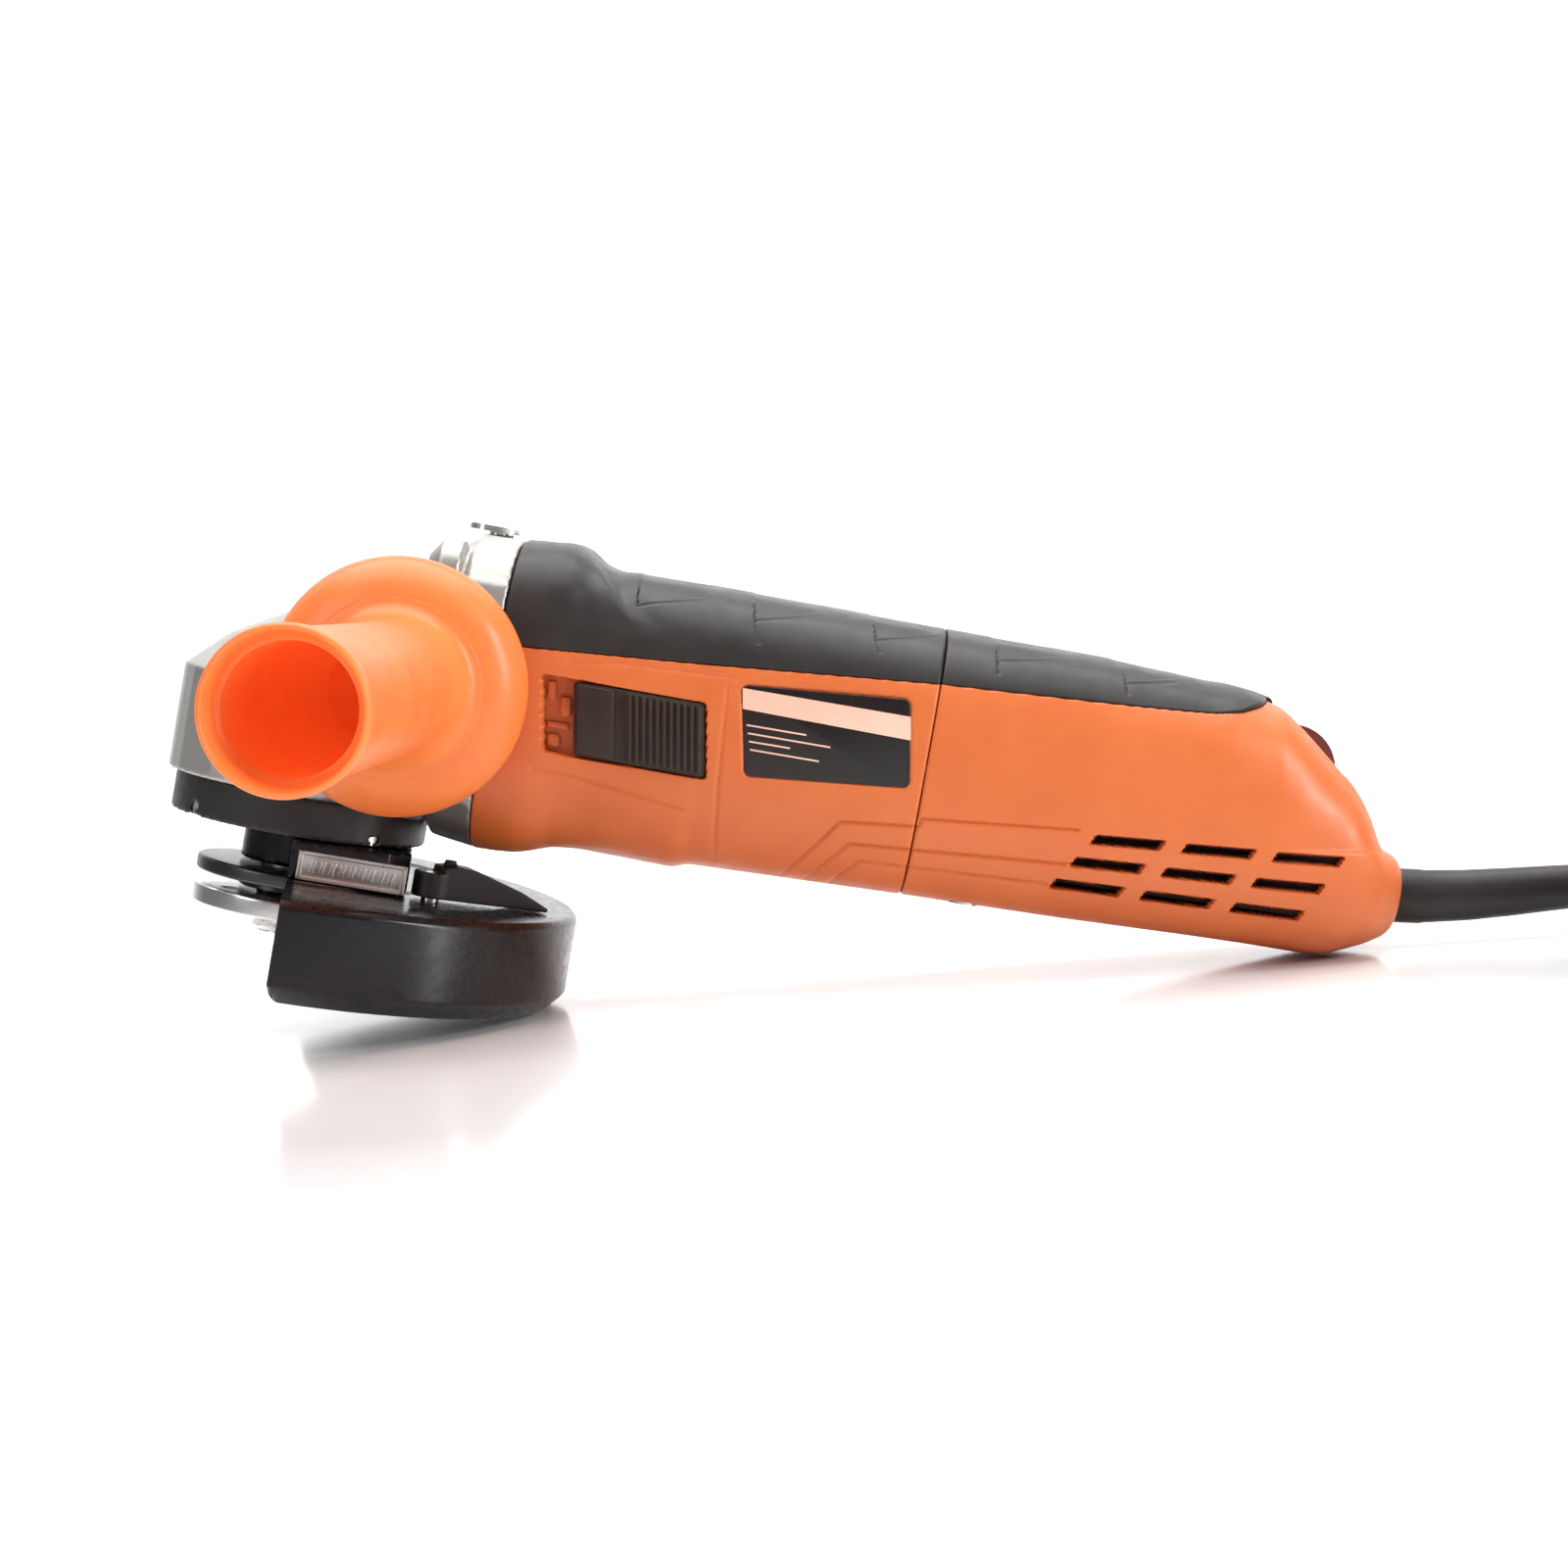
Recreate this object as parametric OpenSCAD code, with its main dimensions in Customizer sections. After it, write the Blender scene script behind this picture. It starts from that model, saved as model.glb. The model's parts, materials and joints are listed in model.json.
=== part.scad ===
// Mains angle grinder lying on a table: it rests on its guard's rear rim and on the keel under its tail.
// Each sub-part is drawn in the tool's own frame: the motor's axis is X, towards the tail, the
// spindle's axis is Z, pointing up from the disc, and the side handle points along -Y. The origin is
// where the two axes cross. rest_pose() then lays the tool on the table.

/* [Gear head] */
// Radius of the barrel around the spindle
head_r = 30.6; // [30:0.1:31]
// Radius of the bearing cover's round front
cover_r = 28.6; // [28:0.1:29]
// Height of the spindle bearing's cover
cover_h = 8.8; // [8.6:0.1:9]
// Distance of the side handle's axis from the spindle's axis
handle_x = 22.7; // [22.5:0.1:23]

/* [Housing] */
// Where the motor housing meets the gear head
joint_x = 41.1; // [41:0.1:41.2]
// Where the rear cover meets the motor housing
split_x = 136.2; // [136:0.1:136.4]
// Thickness of the soft grip
grip_t = 2.3; // [2:0.1:2.4]
// Wall of the rear cover
wall_t = 2.4; // [2.2:0.1:2.5]

/* [Gears] */
// Teeth on the pinion
pinion_teeth = 11; // [11:1:11]
// Teeth on the crown gear
crown_teeth = 35; // [35:1:35]
// Module at the large end of the teeth
tooth_module = 1.15; // [1.1:0.01:1.15]

/* [Guard] */
// Outer radius of the guard
guard_r = 65.7; // [64:0.1:67]
// Height of the guard's top plate
guard_top = -46.7; // [-46.7:0.1:-46.6]
// Lowest edge of the guard
guard_bottom = -68.65; // [-70:0.05:-68]
// Sheet thickness of the guard
sheet_t = 1.6; // [1.4:0.1:1.8]
// How far the guard is turned about the spindle, in degrees
guard_turn = 8; // [0:1:12]

/* [Flanges] */
// Radius of both disc flanges
flange_r = 21; // [20.5:0.1:21]
// Radius of the spindle's thread
thread_r = 7; // [6.9:0.05:7]

/* [Side handle] */
// Distance of the handle's open end from the motor's axis
handle_end = 181.7; // [170:0.1:185]
// Radius of the handle's finger guard
handle_guard_r = 27.7; // [26:0.1:29]
// Radius of the handle's tube at its mouth
handle_tube_r = 14.9; // [14.5:0.1:15.5]

/* [Mains lead] */
// Diameter of the lead
lead_d = 7.5; // [7:0.1:8]
// Radius of the middle of the coil's turns
coil_mean_r = 41; // [40:0.5:42]

/* [Hidden] */
$fn = 48;
e = 0.05;

// Stations of the body, each [x, top, bottom, half width, squareness]
COLLAR = [[29, 32.6, -29.6, 32.4, 3.2], [32, 34.6, -33.4, 34, 3.4],
    [joint_x - e, 34.8, -34.6, 34.4, 3.4]];
MOTOR = [[joint_x, 34.9, -34.6, 34.4, 3.4], [46, 35.6, -34.5, 34.6, 3.4],
    [52, 35.4, -33.7, 34.4, 3.4], [58, 33.0, -31.6, 33.6, 3.2], [64, 32.0, -31.0, 33.2, 3.1],
    [90, 32.2, -30.5, 33, 3.1], [split_x - e, 31.7, -28.4, 32.8, 3.1]];
TAIL = [[split_x, 31.7, -28.4, 32.8, 3.1], [173, 31.6, -27.4, 32, 3.1],
    [200, 30.2, -26.3, 31, 3.1], [212, 27.6, -25.9, 30.2, 3.1], [222, 20.8, -25.8, 28.4, 3],
    [231, 13.6, -25.8, 25.8, 3], [236, 7.6, -23.2, 23.6, 2.8], [239.9, 0.4, -21.5, 20.8, 2.7],
    [245.4, -1.4, -18.6, 13.5, 2.6]];
RING = 28;  // sides of a body section

// Gap between the grip's skin and the shell under it
skin_gap = 0.15;

// The line between the soft grip and the hard shell, as [x, z]
GRIP_LINE = [[40, 11.6], [47.6, 12.2], [81.4, 14.9], [split_x, 19.9], [178, 23.2], [196, 25.5],
    [206, 27.6], [212, 30.2]];

// Bevel gears: cone angles in degrees, measured from each gear's own axis
cone_len = tooth_module * sqrt(pow(pinion_teeth, 2) + pow(crown_teeth, 2)) / 2;
pinion_cone = atan(pinion_teeth / crown_teeth);
crown_cone = 90 - pinion_cone;
tip_angle = 0.9 * tooth_module / cone_len * 180 / PI;
root_angle = 1.1 * tooth_module / cone_len * 180 / PI;
gear_far = cone_len * cos(pinion_cone);
gear_near = 0.68 * gear_far;

// Heights along the spindle
cover_top = -28.55;
cover_bottom = cover_top - cover_h;
neck_bottom = -46.4;
inner_top = -46.8;
inner_bottom = -50;
pilot_bottom = -52.3;
bearing_z = -34.95;
nut_top = -52.9;
nut_bottom = -57.3;
spindle_tip = -62;

// Motor
cavity_r = 26;
shaft_r = 4;
lock_x = 33.8;
boss_y = 34.9;
brush_x = 120.5;

// Tail
exit_x = 245.4;
exit_z = -10.4;
dial_x = 217.5;
dial_z = 14.3;
dial_r = 10;

// Guard, in its own turn
rim_r = guard_r - 3.7;
end_round = 4;
lever_x = 31.4;
lever_y = -20.6;

// The resting pose: the guard's rear rim and the tail's keel both touch the table
keel = TAIL[5];
keel_z = ring_low(keel);
tilt = atan2(keel_z - guard_bottom, keel[0] - rim_r);
lift = rim_r * sin(tilt) - guard_bottom * cos(tilt);
shift_x = -100.7;
shift_y = (handle_end - guard_r) / 2;

// Route of the lead on the table, hand-set, in the table's frame
LEAD_RUN = [[176, 58, 10.8], [181, 58, 10.7], [187, 58, 10], [193, 58, 8.6], [199, 58, 6.8],
    [205, 58, 5.2], [211, 58, 4.4], [217, 58, 4.2], [222, 58, 4.2]];
LEAD_TAIL = [[263, 9.5, 19.2], [263, 3, 19.2], [263, -5, 19.1], [263, -13, 18.6], [263, -21, 17.4],
    [263, -29, 15.6], [263, -37, 13.9], [263, -45, 12.7], [263, -51, 12.2], [263, -56, 12]];
coil_x = 222;
coil_y = 9.5;
tie_t = 0.8;
plug_x = 263;
plug_y = -56;
plug_z = 12;

// ---- shapes that repeat ----

function signed_pow(v, p) = sign(v) * pow(abs(v), p);

function ring_angle(i) = 360 * (i + 0.5) / RING;

// One section of the body, as points in a plane across X
function section(s) = [for (i = [0:RING - 1])
    [s[0],
     s[3] * signed_pow(cos(ring_angle(i)), 2 / s[4]),
     (s[1] + s[2]) / 2 + (s[1] - s[2]) / 2 * signed_pow(sin(ring_angle(i)), 2 / s[4])]];

function ring_low(s) = min([for (p = section(s)) p[2]]);

function inset(s, d) = [s[0], s[1] - d, s[2] + d, s[3] - d, s[4]];

function strip(m, n, closed) = [for (j = [0:m - (closed ? 1 : 2)], i = [0:n - 1])
    let (a = j * n + i, b = j * n + (i + 1) % n, k = (j + 1) % m)
    let (c = k * n + (i + 1) % n, d = k * n + i)
    each [[a, d, c], [a, c, b]]];

module loft(stations) {
    n = RING;
    m = len(stations);
    caps = [[for (i = [0:n - 1]) i], [for (i = [n - 1:-1:0]) (m - 1) * n + i]];
    polyhedron([for (s = stations) each section(s)], concat(caps, strip(m, n, false)));
}

module x_cyl(x0, x1, r, y = 0, z = 0) {
    translate([x0, y, z]) rotate([0, 90, 0]) cylinder(h = x1 - x0, r = r);
}

module y_cyl(y0, y1, r, x = 0, z = 0) {
    translate([x, y0, z]) rotate([-90, 0, 0]) cylinder(h = y1 - y0, r = r);
}

module z_cyl(z0, z1, r, x = 0, y = 0) {
    translate([x, y, z0]) cylinder(h = z1 - z0, r = r);
}

module box(low, high) {
    translate(low) cube(high - low);
}

// An outline in [x, z], made solid from y0 to y1
module slab_xz(points, y0, y1) {
    translate([0, y1, 0]) rotate([90, 0, 0]) linear_extrude(y1 - y0) polygon(points);
}

module ball_bearing(width, outer_r, bore_r) {
    race = 0.24 * (outer_r - bore_r);
    difference() {
        cylinder(h = width, r = outer_r);
        translate([0, 0, -1]) cylinder(h = width + 2, r = bore_r);
        for (z = [-1, width - 0.5]) translate([0, 0, z]) difference() {
            cylinder(h = 1.5, r = outer_r - race);
            translate([0, 0, -1]) cylinder(h = 4, r = bore_r + race);
        }
    }
}

module x_bearing(x0, width, outer_r, bore_r) {
    translate([x0, 0, 0]) rotate([0, 90, 0]) ball_bearing(width, outer_r, bore_r);
}

// A tube swept along a route, with a ring square to the route at each point
function heading(path, i) = let (
    a = path[max(i - 1, 0)],
    b = path[min(i + 1, len(path) - 1)]
) (b - a) / norm(b - a);

function tube_ring(path, i, r, n) = let (
    h = heading(path, i),
    side = cross([0, 0, 1], h) / norm(cross([0, 0, 1], h)),
    up = cross(h, side)
) [for (k = [0:n - 1]) path[i] + r * (cos(360 * k / n) * side + sin(360 * k / n) * up)];

module tube(path, r, n = 12) {
    m = len(path);
    caps = [[for (i = [0:n - 1]) i], [for (i = [n - 1:-1:0]) (m - 1) * n + i]];
    polyhedron([for (i = [0:m - 1]) each tube_ring(path, i, r, n)], concat(caps, strip(m, n, false)));
}

module rest_pose() {
    translate([shift_x, shift_y, lift]) rotate([0, tilt, 0]) children();
}

function to_table(p) = [p[0] * cos(tilt) + p[2] * sin(tilt) + shift_x, p[1] + shift_y,
    p[2] * cos(tilt) - p[0] * sin(tilt) + lift];

// ---- gear head ----

// Where the four gear head screws pass, as [y, z]
HEAD_SCREWS = [[24.5, 24.5], [-24.5, 24.5], [25, -21.4], [-25, -21.4]];
// Where the four cover screws pass, as [x, y]
COVER_SCREWS = [[-17.5, 17.5], [-17.5, -17.5], [17.5, 17.5], [17.5, -17.5]];

module gear_head() {
    color("silver") rest_pose() difference() {
        union() {
            hull() {
                z_cyl(-28.5, -5.2, head_r, 0, 0, $fn = 32);
                z_cyl(3.3, 3.4, 21.5, $fn = 32);
                for (y = [-21, 21], z = [-20.5, 21.5]) x_cyl(27, 29, 8, y, z, $fn = 32);
            }
            loft(COLLAR);
            for (p = HEAD_SCREWS) {
                x_cyl(25.4, 30, 8, p[0], p[1]);
                translate([21.4, p[0], p[1]]) rotate([0, 90, 0]) cylinder(h = 4.1, r1 = 2.6, r2 = 8);
            }
            y_cyl(-boss_y, boss_y, 11, handle_x, -0.4);
        }
        z_cyl(-29, 0, 21.5);
        x_cyl(9, 22.2, 8.6);
        x_cyl(20, 30, 11.02);
        x_cyl(29.6, 42, 13);
        x_cyl(38.5, 42, 25);
        z_cyl(-1, 10.6, 6.03);
        y_cyl(-boss_y - 1, -20, 4.05, handle_x, -0.4);
        y_cyl(20, boss_y + 1, 4, handle_x, -0.4);
        for (p = HEAD_SCREWS) {
            x_cyl(21, 25.4, 3.7, p[0], p[1]);
            x_cyl(24, 42, 2.2, p[0], p[1]);
        }
        for (p = COVER_SCREWS) z_cyl(-29, -16, 2.02, p[0], p[1]);
        box([23, -6.6, 30.4], [38.6, 6.6, 37]);
        z_cyl(24, 31, 4, lock_x);
        z_cyl(11, 25, 2.27, lock_x);
    }
}

module bearing_cover() {
    color("#2a2a2c") rest_pose() difference() {
        union() {
            z_cyl(cover_bottom, cover_top, cover_r);
            z_cyl(neck_bottom, cover_bottom + 1, 9.4);
        }
        z_cyl(bearing_z - e, -28, 16.03);
        z_cyl(neck_bottom - 1, -34, 7.4);
        for (p = COVER_SCREWS) {
            z_cyl(cover_bottom - 1, -28, 2.2, p[0], p[1]);
            z_cyl(cover_bottom - 1, cover_bottom + 3.6, 3.7, p[0], p[1]);
        }
    }
}

module cover_screws() {
    color("dimgray") rest_pose() for (p = COVER_SCREWS) difference() {
        union() {
            z_cyl(cover_bottom + 0.3, cover_bottom + 3.5, 3.5, p[0], p[1]);
            z_cyl(cover_bottom + 3, -17, 1.95, p[0], p[1]);
        }
        z_cyl(cover_bottom, cover_bottom + 2, 1.6, p[0], p[1], $fn = 6);
    }
}

module spindle_bearing() {
    color("lightgray") rest_pose() translate([0, 0, bearing_z])
        ball_bearing(10, 16, 6.05);
}

module spindle_bush() {
    color("goldenrod") rest_pose() difference() {
        z_cyl(1.5, 10.5, 6);
        z_cyl(0, 12, 4.05);
    }
}

module head_screws() {
    color("gray") rest_pose() for (p = HEAD_SCREWS) difference() {
        union() {
            x_cyl(22.3, 25.3, 3.5, p[0], p[1]);
            x_cyl(25, 50, 1.95, p[0], p[1]);
        }
        box([21, p[0] - 2.4, p[1] - 0.45], [23.4, p[0] + 2.4, p[1] + 0.45]);
        box([21, p[0] - 0.45, p[1] - 2.4], [23.4, p[0] + 0.45, p[1] + 2.4]);
    }
}

module handle_stud() {
    color("silver") rest_pose() y_cyl(-59, -21, 4, handle_x, -0.4);
}

// Half the handle's outline, as [radius, distance from the motor's axis]
function handle_outline() = concat(
    [[0, boss_y + 0.1], [10, boss_y + 0.1], [10, 40], [17, 41], [handle_guard_r - 0.6, 41.4]],
    [for (a = [0:15:90])
        [16.2 + (handle_guard_r - 16.2) * cos(a), 43.4 + 10.6 * sin(a)]],
    [[16.3, 56], [15.9, 58.6], [14.6, 59.4], [14.2, 110], [14.2, handle_end - 9],
     [handle_tube_r, handle_end - 6], [handle_tube_r, handle_end - 0.8],
     [handle_tube_r - 0.7, handle_end], [0, handle_end]]);

module side_handle() {
    color("darkorange") rest_pose() translate([handle_x, 0, -0.4]) rotate([90, 0, 0]) difference() {
        rotate_extrude() polygon(handle_outline());
        translate([0, 0, 66]) cylinder(h = handle_end, r = 12.8);
        translate([0, 0, 30]) cylinder(h = 31, r = 4.05);
    }
}

// ---- spindle ----

module spindle() {
    color("silver") rest_pose() union() {
        z_cyl(spindle_tip, bearing_z - e, thread_r);
        z_cyl(-36, -4, 6);
        z_cyl(-5, 10, 4);
    }
}

// A point on the crown gear's teeth, at a distance from its axis; the gear's axis points down
function crown_pt(dist, cone, az) = [dist * cos(az), dist * sin(az), -dist / tan(cone)];

function tooth_ring(dist) = [for (k = [0:crown_teeth - 1])
    let (p = 360 / crown_teeth, mid = (k + 0.5) * p)
    each [crown_pt(dist, crown_cone - root_angle, mid - 0.35 * p),
        crown_pt(dist, crown_cone + tip_angle, mid - 0.125 * p),
        crown_pt(dist, crown_cone + tip_angle, mid + 0.125 * p),
        crown_pt(dist, crown_cone - root_angle, mid + 0.35 * p)]];

function dropped(points, z) = [for (p = points) [p[0], p[1], z]];

module crown_gear() {
    outer = tooth_ring(gear_far + 0.2);
    inner = tooth_ring(gear_near);
    color("darkgray") rest_pose() difference() {
        union() {
            polyhedron(concat(dropped(outer, -12.5), outer, inner, dropped(inner, -12.5)),
                strip(4, 4 * crown_teeth, true));
            z_cyl(-12.5, -8.6, 14.6);
            z_cyl(-17, -12, 9.5);
        }
        z_cyl(-18, 0, 6.03);
    }
}

module inner_flange() {
    color("#4a4a4c") rest_pose() difference() {
        union() {
            z_cyl(inner_bottom, inner_top, flange_r);
            z_cyl(pilot_bottom, inner_bottom + 1, 11.1);
        }
        z_cyl(-60, -40, thread_r + 0.04);
    }
}

module flange_nut() {
    color("gainsboro") rest_pose() difference() {
        z_cyl(nut_bottom, nut_top, flange_r);
        z_cyl(-60, -50, thread_r + 0.04);
        for (a = [45:90:315]) rotate([0, 0, a]) z_cyl(-60, -50, 2.5, 15);
        z_cyl(-53.4, -52, 11.4);
    }
}

// ---- motor ----

module armature_shaft() {
    color("silver") rest_pose() union() {
        x_cyl(11.6, 21.9, 2.16);
        x_cyl(21.9, 37.4, shaft_r);
        x_cyl(37.4, 126.6, 5);
        x_cyl(126.6, 134.4, 3.5);
    }
}

function pinion_pt(cone, az) = gear_far * tan(cone) * [cos(az), sin(az)];

function pinion_outline() = [for (k = [0:pinion_teeth - 1])
    let (p = 360 / pinion_teeth, mid = k * p)
    each [pinion_pt(pinion_cone - root_angle, mid - 0.29 * p),
        pinion_pt(pinion_cone + tip_angle, mid - 0.11 * p),
        pinion_pt(pinion_cone + tip_angle, mid + 0.11 * p),
        pinion_pt(pinion_cone - root_angle, mid + 0.29 * p)]];

module pinion() {
    color("darkgray") rest_pose() difference() {
        union() {
            translate([gear_far, 0, 0]) rotate([0, 90, 0]) mirror([0, 0, 1])
                linear_extrude(gear_far - gear_near, scale = gear_near / gear_far)
                polygon(pinion_outline());
            x_cyl(gear_far - 0.5, 21.85, 5);
        }
        x_cyl(10, 25, 2.2);
    }
}

module lock_collar() {
    color("gray") rest_pose() difference() {
        x_cyl(30.2, 37.2, 9.5);
        x_cyl(29, 38, shaft_r + 0.03);
        for (a = [0:90:270]) rotate([a, 0, 0]) z_cyl(6, 12, 2.7, lock_x);
    }
}

module cooling_fan() {
    color("#3a3a3c") rest_pose() difference() {
        union() {
            x_cyl(46, 47.6, 24.6);
            x_cyl(46, 58, 8.5);
            for (a = [0:30:330]) rotate([a, 0, 0]) box([47, -0.7, 8], [56.5, 0.7, 24]);
        }
        x_cyl(45, 59, 5.03);
    }
}

module armature_core() {
    color("#6a6a6e") rest_pose() difference() {
        x_cyl(71, 109, 15.4);
        x_cyl(70, 110, 5.03);
        for (a = [0:30:330]) rotate([a, 0, 0]) box([70, -1.2, 9.5], [110, 1.2, 16]);
    }
}

module armature_windings() {
    color("#b5562a") rest_pose() for (x = [[64.5, 70.95], [109.05, 113.8]]) difference() {
        x_cyl(x[0], x[1], 13.2);
        x_cyl(x[0] - 1, x[1] + 1, 5.03);
    }
}

module commutator() {
    color("#c87941") rest_pose() difference() {
        union() {
            x_cyl(113.85, 115.4, 12.4);
            x_cyl(115.4, 126.4, 11);
        }
        x_cyl(113, 127, 5.03);
        for (a = [0:15:345]) rotate([a, 0, 0]) box([115.6, -0.25, 10.4], [127, 0.25, 12]);
    }
}

module front_bearing() {
    color("lightgray") rest_pose() x_bearing(22.25, 7, 11, shaft_r + 0.05);
}

module rear_bearing() {
    color("lightgray") rest_pose() x_bearing(127.2, 6, 9.5, 3.55);
}

module fan_baffle() {
    color("#333333") rest_pose() difference() {
        x_cyl(59.5, 61.5, 25.9);
        x_cyl(59, 62, 17);
        box([59, -30, -4.5], [62, -24.4, 3.5]);
    }
}

module stator_core() {
    color("#77777b") rest_pose() difference() {
        x_cyl(70.5, 109.5, 25.4);
        x_cyl(70, 110, 16);
        for (s = [-1, 1]) box([70, s > 0 ? 10 : -22.5, -9.5], [110, s > 0 ? 22.5 : -10, 9.5]);
    }
}

module field_coils() {
    color("#b5562a") rest_pose() for (s = [-1, 1]) difference() {
        box([66, s > 0 ? 16.6 : -21.9, -9], [114, s > 0 ? 21.9 : -16.6, 9]);
        x_cyl(60, 120, 16.4);
    }
}

module brush_holders() {
    color("goldenrod") rest_pose() for (s = [-1, 1]) mirror([0, s > 0 ? 0 : 1, 0]) difference() {
        box([brush_x - 4.6, 13.4, -5.2], [brush_x + 4.6, 25.2, 5.2]);
        box([brush_x - 3.45, 12, -4.05], [brush_x + 3.45, 24.2, 4.05]);
    }
}

module carbon_brushes() {
    color("#252525") rest_pose() for (s = [-1, 1]) mirror([0, s > 0 ? 0 : 1, 0])
        box([brush_x - 3.4, 11.1, -4], [brush_x + 3.4, 20, 4]);
}

module brush_springs() {
    color("silver") rest_pose() for (s = [-1, 1]) mirror([0, s > 0 ? 0 : 1, 0]) difference() {
        y_cyl(20.05, 24.15, 2.6, brush_x);
        y_cyl(19, 26, 1.9, brush_x);
    }
}

// ---- housing ----

// Everything below the grip's line, lowered by a gap
module below_grip(gap) {
    slab_xz(concat([[30, -50]], [[30, GRIP_LINE[0][1] - gap]],
        [for (p = GRIP_LINE) [p[0], p[1] - gap]], [[260, 50], [260, -50]]), -60, 60);
}

module above_grip() {
    slab_xz(concat(GRIP_LINE, [[212, 60], [40, 60]]), -60, 60);
}

module shell_body(stations) {
    union() {
        intersection() {
            loft(stations);
            below_grip(0.1);
        }
        loft([for (s = stations) inset(s, grip_t + skin_gap)]);
    }
}

module grip_skin(stations) {
    intersection() {
        difference() {
            loft(stations);
            loft([for (s = stations) inset(s, grip_t)]);
        }
        above_grip();
    }
}

// The slider's recess and everything on the slider lean: x grows by slant for each mm down
slant = 0.17;

// A leaning outline from x0 to x1 at z = 0, between two heights
function leaning(x0, x1, z0, z1) = [[x0 - slant * z0, z0], [x1 - slant * z0, z0],
    [x1 - slant * z1, z1], [x0 - slant * z1, z1]];

module motor_housing() {
    color("#e0702e") rest_pose() difference() {
        union() {
            shell_body(MOTOR);
            box([split_x - 1, -18, -25.4], [158, 18, -20.4]);
        }
        x_cyl(40, 127, cavity_r);
        x_cyl(126, 133.4, 9.53);
        x_cyl(133.3, 160, 20.4);
        x_cyl(133.3, 137, 24);
        for (a = [45:90:315]) rotate([a, 0, 0]) x_cyl(126, 134, 4.5, 17.5);
        box([52, -29.5, -4.2], [138, -22, 3.2]);
        for (p = HEAD_SCREWS) x_cyl(40, 52, 2.02, p[0], p[1]);
        slab_xz(leaning(52.9, 88.4, -9.2, 7.2), -40, -31.2);
        box([60.5, -32, -2.6], [76.6, -28, 1.7]);
        slab_xz(plate_outline(0.15), -40, -32);
        for (y = [-12, 12]) z_cyl(-27, -21.5, 1.8, 150, y);
    }
}

module front_grip() {
    color("#4b4947") rest_pose() grip_skin(MOTOR);
}

module rear_grip() {
    color("#4b4947") rest_pose() grip_skin([for (i = [0:3]) TAIL[i]]);
}

// The name plate's outline, grown by a margin
function plate_outline(m) = [[94.1 - m, 12.3 + m], [130.2 + m, 15.4 + m], [133.4 + m, -3.2 - m],
    [98 - m, -6.9 - m]];

module name_plate() {
    color("#222024") rest_pose() slab_xz(plate_outline(0), -32.75, -32.05);
}

// Nine slanted air slots on each side: row i from the top, column j from the front
module air_slot(i, j) {
    x = 174.9 - 3.3 * i + 19.7 * j;
    z = -6.2 - 5.5 * i + (1.5 - 0.35 * i) * j;
    rise = 1.3 - 0.3 * i;
    slab_xz([[x, z], [x + 14.9, z + rise], [x + 13.8, z + rise - 2.3], [x - 1.1, z - 2.3]], -40, -20);
}

module rear_cover() {
    color("#e0702e") rest_pose() difference() {
        shell_body(TAIL);
        translate([-1, 0, 0]) loft([for (i = [0:7]) inset(TAIL[i], grip_t + skin_gap + wall_t)]);
        x_cyl(234, 250, 6.25, 0, exit_z);
        y_cyl(-4.8, 4.8, dial_r + 0.8, dial_x, dial_z);
        for (i = [0:2], j = [0:2], s = [0, 1]) mirror([0, s, 0]) air_slot(i, j);
        box([136, -31, -4.2], [164, -22, 3.2]);
        box([135, -18.3, -25.5], [158.5, 18.3, -20]);
        for (y = [-12, 12]) {
            z_cyl(-30, -25, 1.8, 150, y);
            z_cyl(-30, -26.5, 3.7, 150, y);
        }
    }
}

module rear_cover_screws() {
    color("gray") rest_pose() for (y = [-12, 12]) union() {
        z_cyl(-27.6, -26.55, 3.5, 150, y);
        z_cyl(-26.8, -21.6, 1.75, 150, y);
    }
}

// ---- switch and electrics ----

module switch_slider() {
    color("#2b2829") rest_pose() union() {
        slab_xz(leaning(59.6, 88, -8.9, 6.9), -33.4, -31.3);
        for (i = [0:10]) slab_xz(leaning(71.4 + 1.5 * i, 72.2 + 1.5 * i, -8.2, 6.2), -34.3, -33);
        slab_xz(leaning(60.4, 67.4, -8.2, 6.2), -33.9, -33);
        box([67, -31.5, -2.2], [76, -29.3, 1.3]);
    }
}

module switch_link() {
    color("#d8d2c4") rest_pose() box([66, -29.2, -3.2], [160, -27.2, 2.2]);
}

module switch_toggle() {
    color("black") rest_pose() box([154, -27.1, -1.8], [158, -22, 0.8]);
}

module power_switch() {
    color("#1d1d1f") rest_pose() difference() {
        box([146, -25.4, -9], [174, -8, 9]);
        box([147.4, -26, -2.4], [158.4, -21.4, 1.4]);
    }
}

module speed_module() {
    color("#2f6b3a") rest_pose() difference() {
        union() {
            box([186, 11, -4], [222, 12.6, 13.5]);
            y_cyl(4.9, 11.5, 6.2, dial_x, dial_z - 4.5);
            box([188, 4, -2], [206, 11.2, 8]);
        }
        y_cyl(4, 10, 2.05, dial_x, dial_z);
    }
}

module speed_dial() {
    color("#7d2417") rest_pose() union() {
        y_cyl(-4, 4, dial_r, dial_x, dial_z);
        y_cyl(3, 9, 2, dial_x, dial_z);
    }
}

module suppression_capacitor() {
    color("#3c3c40") rest_pose() box([180, -20, -16], [198, -9, -2]);
}

module cord_clamp() {
    color("#3a3a3c") rest_pose() difference() {
        box([222, -9, exit_z - 6], [230, 9, exit_z + 6]);
        x_cyl(220, 232, 3.8, 0, exit_z);
        for (y = [-6.4, 6.4]) z_cyl(exit_z - 7, exit_z + 7, 1.7, 226, y);
    }
}

module cord_clamp_screws() {
    color("gray") rest_pose() for (y = [-6.4, 6.4]) union() {
        z_cyl(exit_z - 5, exit_z + 6.1, 1.6, 226, y);
        z_cyl(exit_z + 6.05, exit_z + 7.6, 2.8, 226, y);
    }
}

// ---- spindle lock ----

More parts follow.
